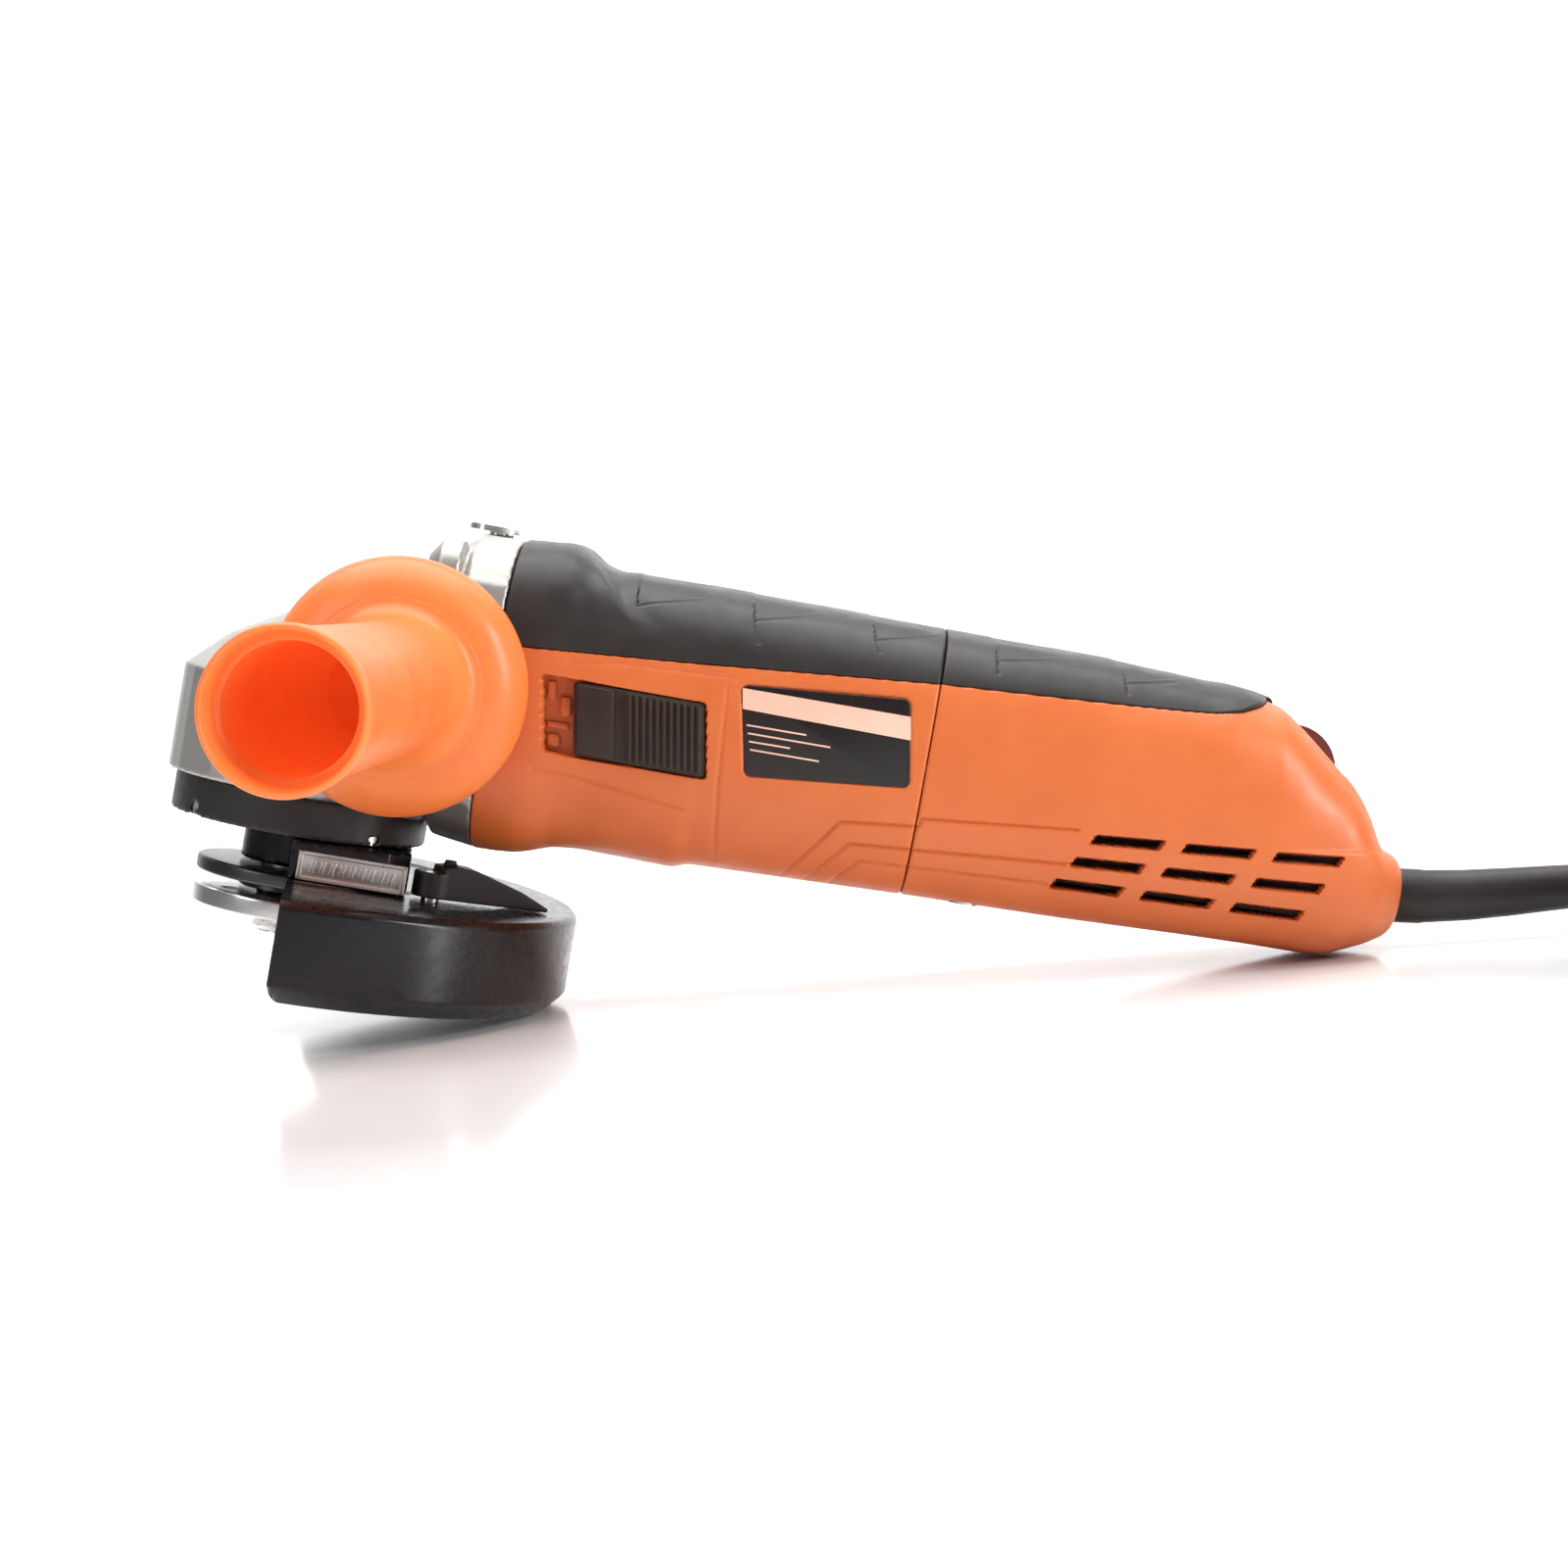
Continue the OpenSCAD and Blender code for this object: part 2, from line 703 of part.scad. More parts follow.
module lock_button() {
    color("gainsboro") rest_pose() union() {
        hull() for (x = [31.6, 34]) z_cyl(35.4, 36.7, 4.6, x, 0, $fn = 32);
        z_cyl(11, 36, 2.2, lock_x);
    }
}

module lock_spring() {
    color("silver") rest_pose() difference() {
        z_cyl(24.1, 35.3, 3.6, lock_x);
        z_cyl(23, 37, 2.5, lock_x);
    }
}

// ---- guard ----

module guard_pose() {
    rest_pose() rotate([0, 0, guard_turn]) children();
}

// Where the guard is riveted to its collar, as [x, y]
RIVETS = [[21.5, 18], [21.5, -18]];

// The guard's section, as [radius, height]
function guard_section() = [
    [22.6, guard_top], [guard_r - 2, guard_top], [guard_r, guard_top - 2],
    [guard_r, guard_bottom + 3.7], [rim_r, guard_bottom],
    [rim_r - 1.2, guard_bottom + 1.1], [guard_r - sheet_t, guard_bottom + 4.4],
    [guard_r - sheet_t, guard_top - 2.6], [guard_r - 2.6, guard_top - sheet_t],
    [22.6, guard_top - sheet_t]];

module guard_shell() {
    color("#1c1c1f") guard_pose() difference() {
        rotate([0, 0, -90]) rotate_extrude(angle = 180) polygon(guard_section());
        for (p = RIVETS) z_cyl(-50, -40, 2.05, p[0], p[1]);
        z_cyl(-50, -40, 2.05, lever_x, lever_y);
        difference() {
            box([-1, -guard_r - 1, guard_bottom - 1], [end_round, guard_r + 1, guard_bottom + end_round]);
            y_cyl(-guard_r - 2, guard_r + 2, end_round, end_round, guard_bottom + end_round);
        }
    }
}

module guard_collar() {
    color("#1c1c1f") guard_pose() difference() {
        union() {
            translate([0, 0, guard_top + 0.02]) linear_extrude(cover_bottom - 0.4 - guard_top)
                polygon([[0, -26], [21, -26], [26, -21], [26, 21], [21, 26], [0, 26]]);
            z_cyl(guard_top + 0.6, cover_bottom - 0.38, 11.6);
        }
        z_cyl(-50, cover_bottom, 9.75);
        z_cyl(-50, -46.1, 22);
        for (p = RIVETS) z_cyl(-50, cover_bottom, 2.05, p[0], p[1]);
    }
}

module clamp_plate() {
    color("lightgray") guard_pose() difference() {
        box([1.6, -26.9, guard_top + 0.2], [25.4, -26.02, guard_top + 6.6]);
        box([3, -27.5, guard_top + 1.6], [24, -26.5, guard_top + 5.2]);
    }
}

module guard_rivets() {
    color("gray") guard_pose() for (p = RIVETS)
        z_cyl(guard_top - sheet_t - 0.5, cover_bottom - 1.2, 2, p[0], p[1]);
}

module lever_pin() {
    color("gray") guard_pose() z_cyl(guard_top - sheet_t - 0.4, -40.9, 2, lever_x, lever_y);
}

// The quick-release lever, pointing to the tail when closed
module clamp_lever() {
    color("#26211f") guard_pose() translate([lever_x, lever_y, 0]) rotate([0, 0, 17.6]) difference() {
        union() {
            z_cyl(guard_top + 0.3, -40.8, 4.4);
            slab_xz([[1, guard_top + 0.3], [1, -39.4], [4, -38.7], [9, -39.2], [20, -42.6],
                [26.5, guard_top + 1.2], [26.5, guard_top + 0.3]], -4, 4);
            z_cyl(-41.2, -37.8, 1.4, 3.4, 0);
        }
        z_cyl(-50, -40.4, 2.05);
    }
}

// ---- mains lead, in the table's frame ----

lead_r = lead_d / 2;

module strain_relief() {
    start = to_table([exit_x + 0.3, 0, exit_z]);
    color("#2a2a2c") union() {
        rest_pose() x_cyl(236, exit_x + 0.6, 6.15, 0, exit_z);
        translate(start) rotate([0, 90, 0]) cylinder(h = LEAD_RUN[0][0] - start[0], r1 = 6.1, r2 = 5);
    }
}

module lead_run() {
    color("#38383a") tube(LEAD_RUN, lead_r);
}

module lead_tail() {
    color("#38383a") tube(LEAD_TAIL, lead_r);
}

module lead_coil() {
    low = coil_mean_r - 1.5 * lead_d - 0.3;
    high = coil_mean_r + 1.5 * lead_d + 0.3;
    color("#38383a") difference() {
        translate([coil_x, coil_y, 0]) rotate_extrude() polygon([[low, 0.3], [high, 0.3],
            [high, 3 * lead_d + 0.6], [coil_mean_r - 4, 3 * lead_d + 0.6],
            [coil_mean_r - 4, 2 * lead_d + 0.6], [low, 2 * lead_d + 0.6]]);
        translate([coil_x, coil_y, 0]) rotate([0, 0, 200]) box([low - 2, -6, -1], [high + 2, 6, 0.9]);
    }
}

module coil_tie() {
    low = coil_mean_r - 1.5 * lead_d - 0.9;
    high = coil_mean_r + 1.5 * lead_d + 0.4;
    top = 3 * lead_d + 0.7;
    color("#202022") translate([coil_x, coil_y, 0]) rotate([0, 0, 200]) difference() {
        box([low - tie_t, -5, 0], [high + tie_t, 5, top + tie_t]);
        box([low, -6, tie_t], [high, 6, top]);
    }
}

module plug_body() {
    color("#2a2a2c") translate([plug_x, plug_y, plug_z]) rotate([90, 0, 0]) union() {
        cylinder(h = 22, r1 = 4.6, r2 = 7.5);
        hull() for (s = [-1, 1]) {
            translate([s * 7, 0, 20]) cylinder(h = 10, r = 8.5, $fn = 32);
            translate([s * 9.5, 0, 34]) cylinder(h = 16, r = 9.8, $fn = 32);
        }
    }
}

module plug_pins() {
    color("silver") for (s = [-1, 1]) translate([plug_x + 9.5 * s, plug_y - 50.02, plug_z])
        rotate([90, 0, 0]) union() {
            cylinder(h = 18, r = 2.4);
            translate([0, 0, 17.9]) cylinder(h = 1.1, r1 = 2.4, r2 = 1.6);
        }
}

gear_head();
bearing_cover();
cover_screws();
spindle_bearing();
spindle_bush();
head_screws();
motor_housing();
front_grip();
front_bearing();
fan_baffle();
stator_core();
field_coils();
brush_holders();
carbon_brushes();
brush_springs();
rear_bearing();
name_plate();
rear_cover();
rear_grip();
rear_cover_screws();
power_switch();
speed_module();
suppression_capacitor();
cord_clamp();
cord_clamp_screws();
handle_stud();
side_handle();
spindle();
crown_gear();
inner_flange();
flange_nut();
armature_shaft();
pinion();
lock_collar();
cooling_fan();
armature_core();
armature_windings();
commutator();
switch_slider();
switch_link();
switch_toggle();
lock_button();
lock_spring();
guard_shell();
guard_collar();
clamp_plate();
guard_rivets();
lever_pin();
clamp_lever();
speed_dial();
strain_relief();
lead_run();
lead_coil();
lead_tail();
coil_tie();
plug_body();
plug_pins();
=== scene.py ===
"""The looks of the angle grinder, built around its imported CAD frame.

Most pieces are drawn in the tool's own frame in millimetres: the motor's axis is X towards the tail,
the spindle's axis is Z, and the side handle points along -Y. TOOL lays them on the table.
"""

import json
import math

import bmesh
import bpy
import numpy as np
from mathutils import Matrix, Vector


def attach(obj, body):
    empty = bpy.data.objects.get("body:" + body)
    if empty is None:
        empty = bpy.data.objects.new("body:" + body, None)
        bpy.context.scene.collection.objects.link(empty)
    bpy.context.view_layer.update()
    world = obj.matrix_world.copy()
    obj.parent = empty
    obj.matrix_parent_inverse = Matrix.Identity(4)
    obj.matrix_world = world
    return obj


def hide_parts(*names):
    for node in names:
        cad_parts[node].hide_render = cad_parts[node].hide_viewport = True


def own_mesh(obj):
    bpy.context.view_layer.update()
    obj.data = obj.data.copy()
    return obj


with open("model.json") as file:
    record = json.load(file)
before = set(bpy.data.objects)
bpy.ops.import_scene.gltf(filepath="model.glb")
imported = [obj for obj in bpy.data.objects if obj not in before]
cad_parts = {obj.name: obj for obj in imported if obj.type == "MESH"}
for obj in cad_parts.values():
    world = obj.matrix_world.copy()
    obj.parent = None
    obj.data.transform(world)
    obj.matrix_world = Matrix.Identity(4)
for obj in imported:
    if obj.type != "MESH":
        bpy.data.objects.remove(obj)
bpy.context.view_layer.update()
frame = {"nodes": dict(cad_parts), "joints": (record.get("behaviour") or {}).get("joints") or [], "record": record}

MM = 0.001
JOINTS = {j["name"]: j for j in frame["joints"]}
SPINDLE_POS_Z = -40.0  # height in the tool's frame of the spindle joint's point
x_axis = Vector(JOINTS["armature_spin"]["axis"])
z_axis = Vector(JOINTS["spindle_spin"]["axis"])
y_axis = z_axis.cross(x_axis)
origin = Vector(JOINTS["spindle_spin"]["pos_m"]) - SPINDLE_POS_Z * MM * z_axis
tool_axes = Matrix((x_axis, y_axis, z_axis)).transposed().to_4x4()
TOOL = Matrix.Translation(origin) @ tool_axes @ Matrix.Scale(MM, 4)
TABLE = Matrix.Scale(MM, 4)
GUARD_TURN = 8.0
GUARD = TOOL @ Matrix.Rotation(math.radians(GUARD_TURN), 4, "Z")

# ---------------- camera

CAMERA_AT = Vector((0.014293, -0.640183, 0.088708))
CAMERA_RIGHT = Vector((0.99716, 0.01549, -0.07365))
CAMERA_UP = Vector((0.07258, 0.06134, 0.99547))
CAMERA_FORWARD = Vector((-0.01994, 0.99800, -0.06004))
LENS_MM = 71.234
SENSOR_MM = 36.0

camera_data = bpy.data.cameras.new("camera")
camera_data.lens = LENS_MM
camera_data.sensor_width = SENSOR_MM
camera_data.clip_start = 0.01
camera = bpy.data.objects.new("camera", camera_data)
bpy.context.scene.collection.objects.link(camera)
turn = Matrix((CAMERA_RIGHT, CAMERA_UP, -CAMERA_FORWARD)).transposed()
camera.matrix_world = Matrix.Translation(CAMERA_AT) @ turn.to_4x4()
bpy.context.scene.camera = camera
bpy.context.scene.view_settings.view_transform = "Standard"

# ---------------- materials


class Nodes:
    """A short way to build a material's nodes."""

    def __init__(self, name):
        self.material = bpy.data.materials.new(name)
        self.material.use_nodes = True
        self.tree = self.material.node_tree
        self.shader = self.tree.nodes["Principled BSDF"]
        self.place = self.add("ShaderNodeTexCoord").outputs["Object"]

    def add(self, kind, **settings):
        node = self.tree.nodes.new(kind)
        for key, value in settings.items():
            if hasattr(node, key):
                setattr(node, key, value)
            else:
                node.inputs[key.replace("_", " ")].default_value = value
        return node

    def link(self, a, b):
        self.tree.links.new(a, b)

    def stretched(self, scale):
        node = self.add("ShaderNodeMapping")
        node.inputs["Scale"].default_value = scale
        self.link(self.place, node.inputs["Vector"])
        return node.outputs["Vector"]

    def noise(self, size_mm, detail=3.0, rough=0.5, stretch=None):
        """Noise whose blotches are about size_mm wide, from 0 to 1."""
        node = self.add("ShaderNodeTexNoise", Scale=1.0 / (size_mm * MM), Detail=detail, Roughness=rough)
        self.link(self.stretched(stretch) if stretch else self.place, node.inputs["Vector"])
        return node.outputs["Fac"]

    def ramp(self, value, low, high, out_low, out_high):
        node = self.add("ShaderNodeMapRange")
        for key, v in zip(("From Min", "From Max", "To Min", "To Max"), (low, high, out_low, out_high)):
            node.inputs[key].default_value = v
        self.link(value, node.inputs["Value"])
        return node.outputs["Result"]

    def mix(self, factor, a, b):
        node = self.add("ShaderNodeMix", data_type="RGBA")
        for socket, value in ((node.inputs[0], factor), (node.inputs[6], a), (node.inputs[7], b)):
            if isinstance(value, (float, int)):
                socket.default_value = value
            elif isinstance(value, (tuple, list)):
                socket.default_value = (*value, 1.0)
            else:
                self.link(value, socket)
        return node.outputs[2]

    def edges(self, low=0.52, high=0.6):
        """1 on convex edges, 0 elsewhere."""
        return self.ramp(self.add("ShaderNodeNewGeometry").outputs["Pointiness"], low, high, 0.0, 1.0)

    def times(self, a, b):
        node = self.add("ShaderNodeMath", operation="MULTIPLY")
        for socket, value in zip(node.inputs, (a, b)):
            if isinstance(value, (float, int)):
                socket.default_value = value
            else:
                self.link(value, socket)
        return node.outputs[0]

    def bumps(self, *layers):
        """Each layer is (height from 0 to 1, depth in mm)."""
        last = None
        for height, depth_mm in layers:
            node = self.add("ShaderNodeBump", Strength=1.0, Distance=depth_mm * MM)
            self.link(height, node.inputs["Height"])
            if last is not None:
                self.link(last, node.inputs["Normal"])
            last = node.outputs["Normal"]
        self.link(last, self.shader.inputs["Normal"])

    def set(self, **values):
        for key, value in values.items():
            socket = self.shader.inputs[key.replace("_", " ")]
            if isinstance(value, tuple):
                socket.default_value = (*value, 1.0)
            elif isinstance(value, (float, int)):
                socket.default_value = value
            else:
                self.link(value, socket)


DARK_BELOW = 0.08


def plastic(name, colour, darker, rough, grain_mm=0.35, grain_depth=0.02, sheen=0.0, subsurface=0.0, coat=0.0,
            through=0.0):
    """through is the share of light that passes a thin wall."""
    n = Nodes(name)
    blotch = n.ramp(n.noise(18.0, 2.0), 0.35, 0.65, 0.0, 0.6)
    scuff = n.ramp(n.noise(1.6, 5.0, 0.7, (1, 1, 6)), 0.62, 0.78, 0.0, 0.35)
    base = n.mix(blotch, colour, darker)
    lighter = tuple(min(1.0, c * 1.12 + 0.01) for c in colour)
    n.set(Base_Color=n.mix(scuff, base, lighter))
    n.set(Roughness=n.ramp(n.noise(5.0, 4.0), 0.3, 0.7, rough - 0.05, rough + 0.07))
    n.bumps((n.noise(grain_mm, 2.0), grain_depth), (n.noise(7.0, 2.0), 0.03))
    if subsurface:
        n.set(Subsurface_Weight=subsurface, Subsurface_Scale=0.004)
        n.shader.inputs["Subsurface Radius"].default_value = (1.0, 0.35, 0.1)
    if coat:
        n.set(Coat_Weight=coat, Coat_Roughness=0.2)
    if max(colour) < DARK_BELOW:
        n.set(Specular_IOR_Level=0.28)
    if sheen:
        n.set(Sheen_Weight=sheen, Sheen_Roughness=0.5)
    if through:
        glow = n.add("ShaderNodeBsdfTranslucent")
        glow.inputs["Color"].default_value = (1.0, 0.40, 0.17, 1.0)
        both = n.add("ShaderNodeMixShader")
        both.inputs[0].default_value = through
        n.link(n.shader.outputs[0], both.inputs[1])
        n.link(glow.outputs[0], both.inputs[2])
        n.link(both.outputs[0], n.tree.nodes["Material Output"].inputs["Surface"])
    return n.material


def metal(name, colour, rough, grain=(1, 1, 1), grain_mm=0.4, depth=0.004, wear=0.0, spots=0.0):
    n = Nodes(name)
    lines = n.noise(grain_mm, 4.0, 0.6, grain)
    stain = n.ramp(n.noise(9.0, 3.0), 0.4, 0.72, 0.0, 0.5)
    darker = tuple(c * 0.72 for c in colour)
    base = n.mix(stain, colour, darker)
    if spots:
        base = n.mix(n.ramp(n.noise(0.8, 2.0), 0.62, 0.72, 0.0, spots), base, tuple(c * 0.4 for c in colour))
    if wear:
        base = n.mix(n.times(n.edges(), wear), base, tuple(min(1.0, c * 1.5 + 0.05) for c in colour))
    n.set(Base_Color=base, Metallic=1.0)
    n.set(Roughness=n.ramp(lines, 0.3, 0.7, max(0.05, rough - 0.07), rough + 0.09))
    n.bumps((lines, depth), (n.noise(6.0, 2.0), 0.02))
    return n.material


def cast_metal(name, colour, rough=0.42):
    """Raw die-cast surface: bright, finely pitted, a little uneven."""
    n = Nodes(name)
    pits = n.noise(0.45, 4.0, 0.65)
    stain = n.ramp(n.noise(14.0, 4.0, 0.6), 0.35, 0.7, 0.0, 0.55)
    base = n.mix(stain, colour, tuple(c * 0.8 for c in colour))
    base = n.mix(n.ramp(pits, 0.3, 0.42, 0.35, 0.0), base, tuple(c * 0.5 for c in colour))
    n.set(Base_Color=base, Metallic=0.85)
    n.set(Roughness=n.ramp(pits, 0.3, 0.7, rough - 0.06, rough + 0.1))
    n.bumps((pits, 0.03), (n.noise(3.0, 2.0), 0.06), (n.noise(12.0, 1.0), 0.12))
    return n.material


def painted(name, colour, rough, chip_colour, peel=0.05, coat=0.6):
    """Powder coat or paint on metal: orange peel, dust, chips along the edges."""
    n = Nodes(name)
    chips = n.times(n.edges(0.535, 0.6), n.ramp(n.noise(1.4, 4.0, 0.7), 0.52, 0.62, 0.0, 1.0))
    dust = n.ramp(n.noise(11.0, 4.0, 0.7), 0.45, 0.75, 0.0, 0.15)
    base = n.mix(dust, colour, tuple(c * 1.2 + 0.002 for c in colour))
    n.set(Base_Color=n.mix(chips, base, chip_colour), Metallic=n.times(chips, 0.9))
    n.set(Roughness=n.ramp(n.noise(2.5, 4.0), 0.3, 0.7, rough - 0.05, rough + 0.1))
    n.set(Coat_Weight=coat, Coat_Roughness=0.12, Specular_IOR_Level=0.3)
    n.bumps((n.noise(0.9, 1.0), peel * 0.5), (n.noise(10.0, 1.0), peel))
    return n.material


ORANGE = (0.66, 0.155, 0.036)
ORANGE_DEEP = (0.6, 0.125, 0.027)
MATS = {
    "cast_aluminium": cast_metal("cast_aluminium", (0.46, 0.445, 0.425)),
    "black_cast": painted("black_cast", (0.022, 0.019, 0.019), 0.42, (0.3, 0.29, 0.28), 0.06, 0.05),
    "zinc_screw": metal("zinc_screw", (0.62, 0.6, 0.55), 0.28, wear=0.5),
    "bearing_steel": metal("bearing_steel", (0.62, 0.62, 0.62), 0.2),
    "bronze": metal("bronze", (0.65, 0.46, 0.22), 0.35),
    "orange_shell": plastic("orange_shell", ORANGE, ORANGE_DEEP, 0.42, 0.4, 0.02, subsurface=0.08),
    "grip_rubber": plastic("grip_rubber", (0.031, 0.028, 0.027), (0.02, 0.018, 0.017), 0.4, 0.3, 0.03),
    "moulded_black": plastic("moulded_black", (0.03, 0.026, 0.025), (0.02, 0.017, 0.016), 0.4),
    "lamination_steel": metal("lamination_steel", (0.32, 0.31, 0.31), 0.4, (1, 1, 30)),
    "copper_wire": metal("copper_wire", (0.72, 0.3, 0.14), 0.35, (1, 1, 12)),
    "carbon": plastic("carbon", (0.02, 0.02, 0.02), (0.01, 0.01, 0.01), 0.6),
    "spring_steel": metal("spring_steel", (0.62, 0.62, 0.62), 0.25),
    "plate_print": plastic("plate_print", (0.01, 0.008, 0.008), (0.022, 0.012, 0.012), 0.22, 0.8, 0.004,
                           coat=0.25),
    "circuit_board": plastic("circuit_board", (0.05, 0.2, 0.08), (0.03, 0.14, 0.05), 0.3),
    "capacitor_case": plastic("capacitor_case", (0.05, 0.05, 0.055), (0.03, 0.03, 0.035), 0.3),
    "bright_steel": metal("bright_steel", (0.75, 0.74, 0.73), 0.24, (14, 14, 1), wear=0.3),
    "dark_steel": metal("dark_steel", (0.09, 0.085, 0.085), 0.3, (10, 10, 1), wear=0.5),
    "handle_orange": plastic("handle_orange", (0.97, 0.36, 0.10), (0.93, 0.29, 0.07), 0.36, 0.5, 0.015,
                             subsurface=0.4, coat=0.15, through=0.42),
    "white_nylon": plastic("white_nylon", (0.7, 0.67, 0.6), (0.6, 0.57, 0.5), 0.4),
    "toggle_black": plastic("toggle_black", (0.015, 0.015, 0.015), (0.01, 0.01, 0.01), 0.35),
    "guard_black": painted("guard_black", (0.005, 0.0045, 0.005), 0.24, (0.1, 0.09, 0.085), 0.02, 0.1),
    "clamp_steel": metal("clamp_steel", (0.8, 0.78, 0.75), 0.36, (1, 8, 8), wear=0.4, spots=0.5),
    "dial_red": plastic("dial_red", (0.14, 0.014, 0.007), (0.09, 0.009, 0.005), 0.16, coat=0.9),
    "lead_sheath": plastic("lead_sheath", (0.055, 0.055, 0.057), (0.035, 0.034, 0.035), 0.42, 0.6, 0.02),
    "tie_strap": plastic("tie_strap", (0.016, 0.016, 0.017), (0.03, 0.03, 0.03), 0.8, 0.5, 0.15, sheen=0.5),
}
PALE_BAND = plastic("pale_band", (0.86, 0.55, 0.42), (0.8, 0.47, 0.35), 0.3, 0.8, 0.004, coat=0.3)
SLIDER_BROWN = plastic("slider_brown", (0.04, 0.025, 0.018), (0.025, 0.016, 0.012), 0.38)
# dark brown painted shade, for the floors of the air slots and the panels behind them
VENT_SHADE_BROWN = plastic("vent_shade_brown", (0.07, 0.02, 0.009), (0.035, 0.012, 0.006), 0.6)

# every CAD node that stays shown gets its record's material
SLOT_OF = {s["node"]: s["material_slot"] for s in frame["record"]["subparts"]}
for node, obj in frame["nodes"].items():
    obj.data.materials.clear()
    obj.data.materials.append(MATS[SLOT_OF[node]])
    obj.data.polygons.foreach_set("use_smooth", [True] * len(obj.data.polygons))
    obj.data.set_sharp_from_angle(angle=math.radians(35))

# ---------------- mesh helpers


WELD_MM, DEGENERATE_MM = 1e-4, 1e-5


def shown(name, data):
    """An object of data, put in the scene."""
    obj = bpy.data.objects.new(name, data)
    bpy.context.scene.collection.objects.link(obj)
    return obj


def welded(parts):
    """A bmesh of (points, faces) parts, with the points that meet made one."""
    bm = bmesh.new()
    for points, faces in parts:
        verts = [bm.verts.new(p) for p in points]
        for f in faces:
            bm.faces.new([verts[i] for i in f])
    bmesh.ops.remove_doubles(bm, verts=bm.verts, dist=WELD_MM)
    return bm


def finish_mesh(me, smooth_deg):
    me.update()
    me.polygons.foreach_set("use_smooth", [True] * len(me.polygons))
    me.set_sharp_from_angle(angle=math.radians(smooth_deg))


def piece(name, parts, slot, body, replaces=(), place=TOOL, smooth_deg=38, material=None):
    """One object from (points, faces) parts. It rides on body and stands for the CAD nodes in replaces."""
    bm = welded(parts)
    bmesh.ops.dissolve_degenerate(bm, edges=bm.edges, dist=DEGENERATE_MM)
    bmesh.ops.recalc_face_normals(bm, faces=bm.faces)
    bm.transform(place)
    me = bpy.data.meshes.new(name)
    bm.to_mesh(me)
    bm.free()
    return adopt(name, me, slot, body, replaces, smooth_deg, material)


def adopt(name, me, slot, body, replaces=(), smooth_deg=38, material=None):
    """piece, for a mesh that is already made and in place."""
    while me.materials:
        me.materials.pop()
    me.materials.append(material or MATS[slot])
    finish_mesh(me, smooth_deg)
    obj = shown(name, me)
    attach(obj, body)
    if replaces:
        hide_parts(*replaces)
    return obj


def rounded(points, radius, steps=5):
    """A closed outline with each corner turned into an arc. radius is one number or one for each point."""
    pts = [Vector(p).to_2d() for p in points]
    n = len(pts)
    radii = radius if isinstance(radius, (list, tuple)) else [radius] * n
    out = []
    for i, p in enumerate(pts):
        if radii[i] <= 0:
            out.append(tuple(p))
            continue
        a, b = pts[i - 1] - p, pts[(i + 1) % n] - p
        half = a.angle(b) / 2
        if half > math.radians(88):
            out.append(tuple(p))
            continue
        reach = min(radii[i] / math.tan(half), a.length * 0.49, b.length * 0.49)
        r = reach * math.tan(half)
        centre = p + (a.normalized() + b.normalized()).normalized() * (r / math.sin(half))
        start, end = p + a.normalized() * reach, p + b.normalized() * reach
        a0 = math.atan2(*(start - centre).yx)
        sweep = (math.atan2(*(end - centre).yx) - a0 + math.pi) % (2 * math.pi) - math.pi
        for k in range(steps + 1):
            t = a0 + sweep * k / steps
            out.append((centre.x + r * math.cos(t), centre.y + r * math.sin(t)))
    return out


def turned(outline, n=96, start=0.0, sweep=360.0, closed=False):
    """An outline of (radius, height) turned about Z. closed says that the outline is a loop."""
    whole = sweep >= 360
    cols = n if whole else n + 1
    points = []
    for k in range(cols):
        t = math.radians(start + sweep * k / n)
        points += [(r * math.cos(t), r * math.sin(t), h) for r, h in outline]
    m = len(outline)
    faces = []
    for k in range(n):
        a, b = k * m, ((k + 1) % cols) * m
        for i in range(m if closed else m - 1):
            j = (i + 1) % m
            faces.append((a + i, b + i, b + j, a + j))
    if closed and not whole:
        faces += [tuple(range(m)), tuple(range((cols - 1) * m, cols * m))]
    return points, faces


def offset_outline(outline, d):
    """A closed outline moved inwards by d (counter-clockwise outlines)."""
    pts = [Vector(p) for p in outline]
    out = []
    for i, p in enumerate(pts):
        a, b = (p - pts[i - 1]).normalized(), (pts[(i + 1) % len(pts)] - p).normalized()
        n1, n2 = Vector((-a.y, a.x)), Vector((-b.y, b.x))
        m = n1 + n2
        m = m / max(0.35, m.length_squared / 2)
        out.append((p.x + m.x * d, p.y + m.y * d))
    return out


def tube_faces(rings, n):
    """The quads that join each ring of n points to the next one."""
    faces = []
    for k in range(rings - 1):
        low, high = k * n, (k + 1) * n
        faces += [(low + i, low + (i + 1) % n, high + (i + 1) % n, high + i) for i in range(n)]
    return faces


def slab(outline, low, high, edge=0.3, steps=3):
    """An outline in (x, y) raised from low to high, with rounded edges."""
    area = sum(a[0] * b[1] - b[0] * a[1] for a, b in zip(outline, outline[1:] + outline[:1]))
    loop = outline if area > 0 else outline[::-1]
    rings = []
    for k in range(steps + 1):
        t = math.pi / 2 * k / steps
        rings.append((edge * (1 - math.sin(t)), low + edge * (1 - math.cos(t))))
    rings += [(d, high - (h - low)) for d, h in rings[::-1]]
    n, points = len(loop), []
    for d, h in rings:
        points += [(x, y, h) for x, y in offset_outline(loop, d)]
    ends = [tuple(range(n))[::-1], tuple(range((len(rings) - 1) * n, len(rings) * n))]
    return points, tube_faces(len(rings), n) + ends


def moved(part, matrix):
    return [tuple(matrix @ Vector(p)) for p in part[0]], part[1]


# local z becomes -y
TOWARDS_HANDLE = Matrix(((1, 0, 0, 0), (0, 0, -1, 0), (0, 1, 0, 0), (0, 0, 0, 1)))


def at(x, y, z):
    return Matrix.Translation((x, y, z))


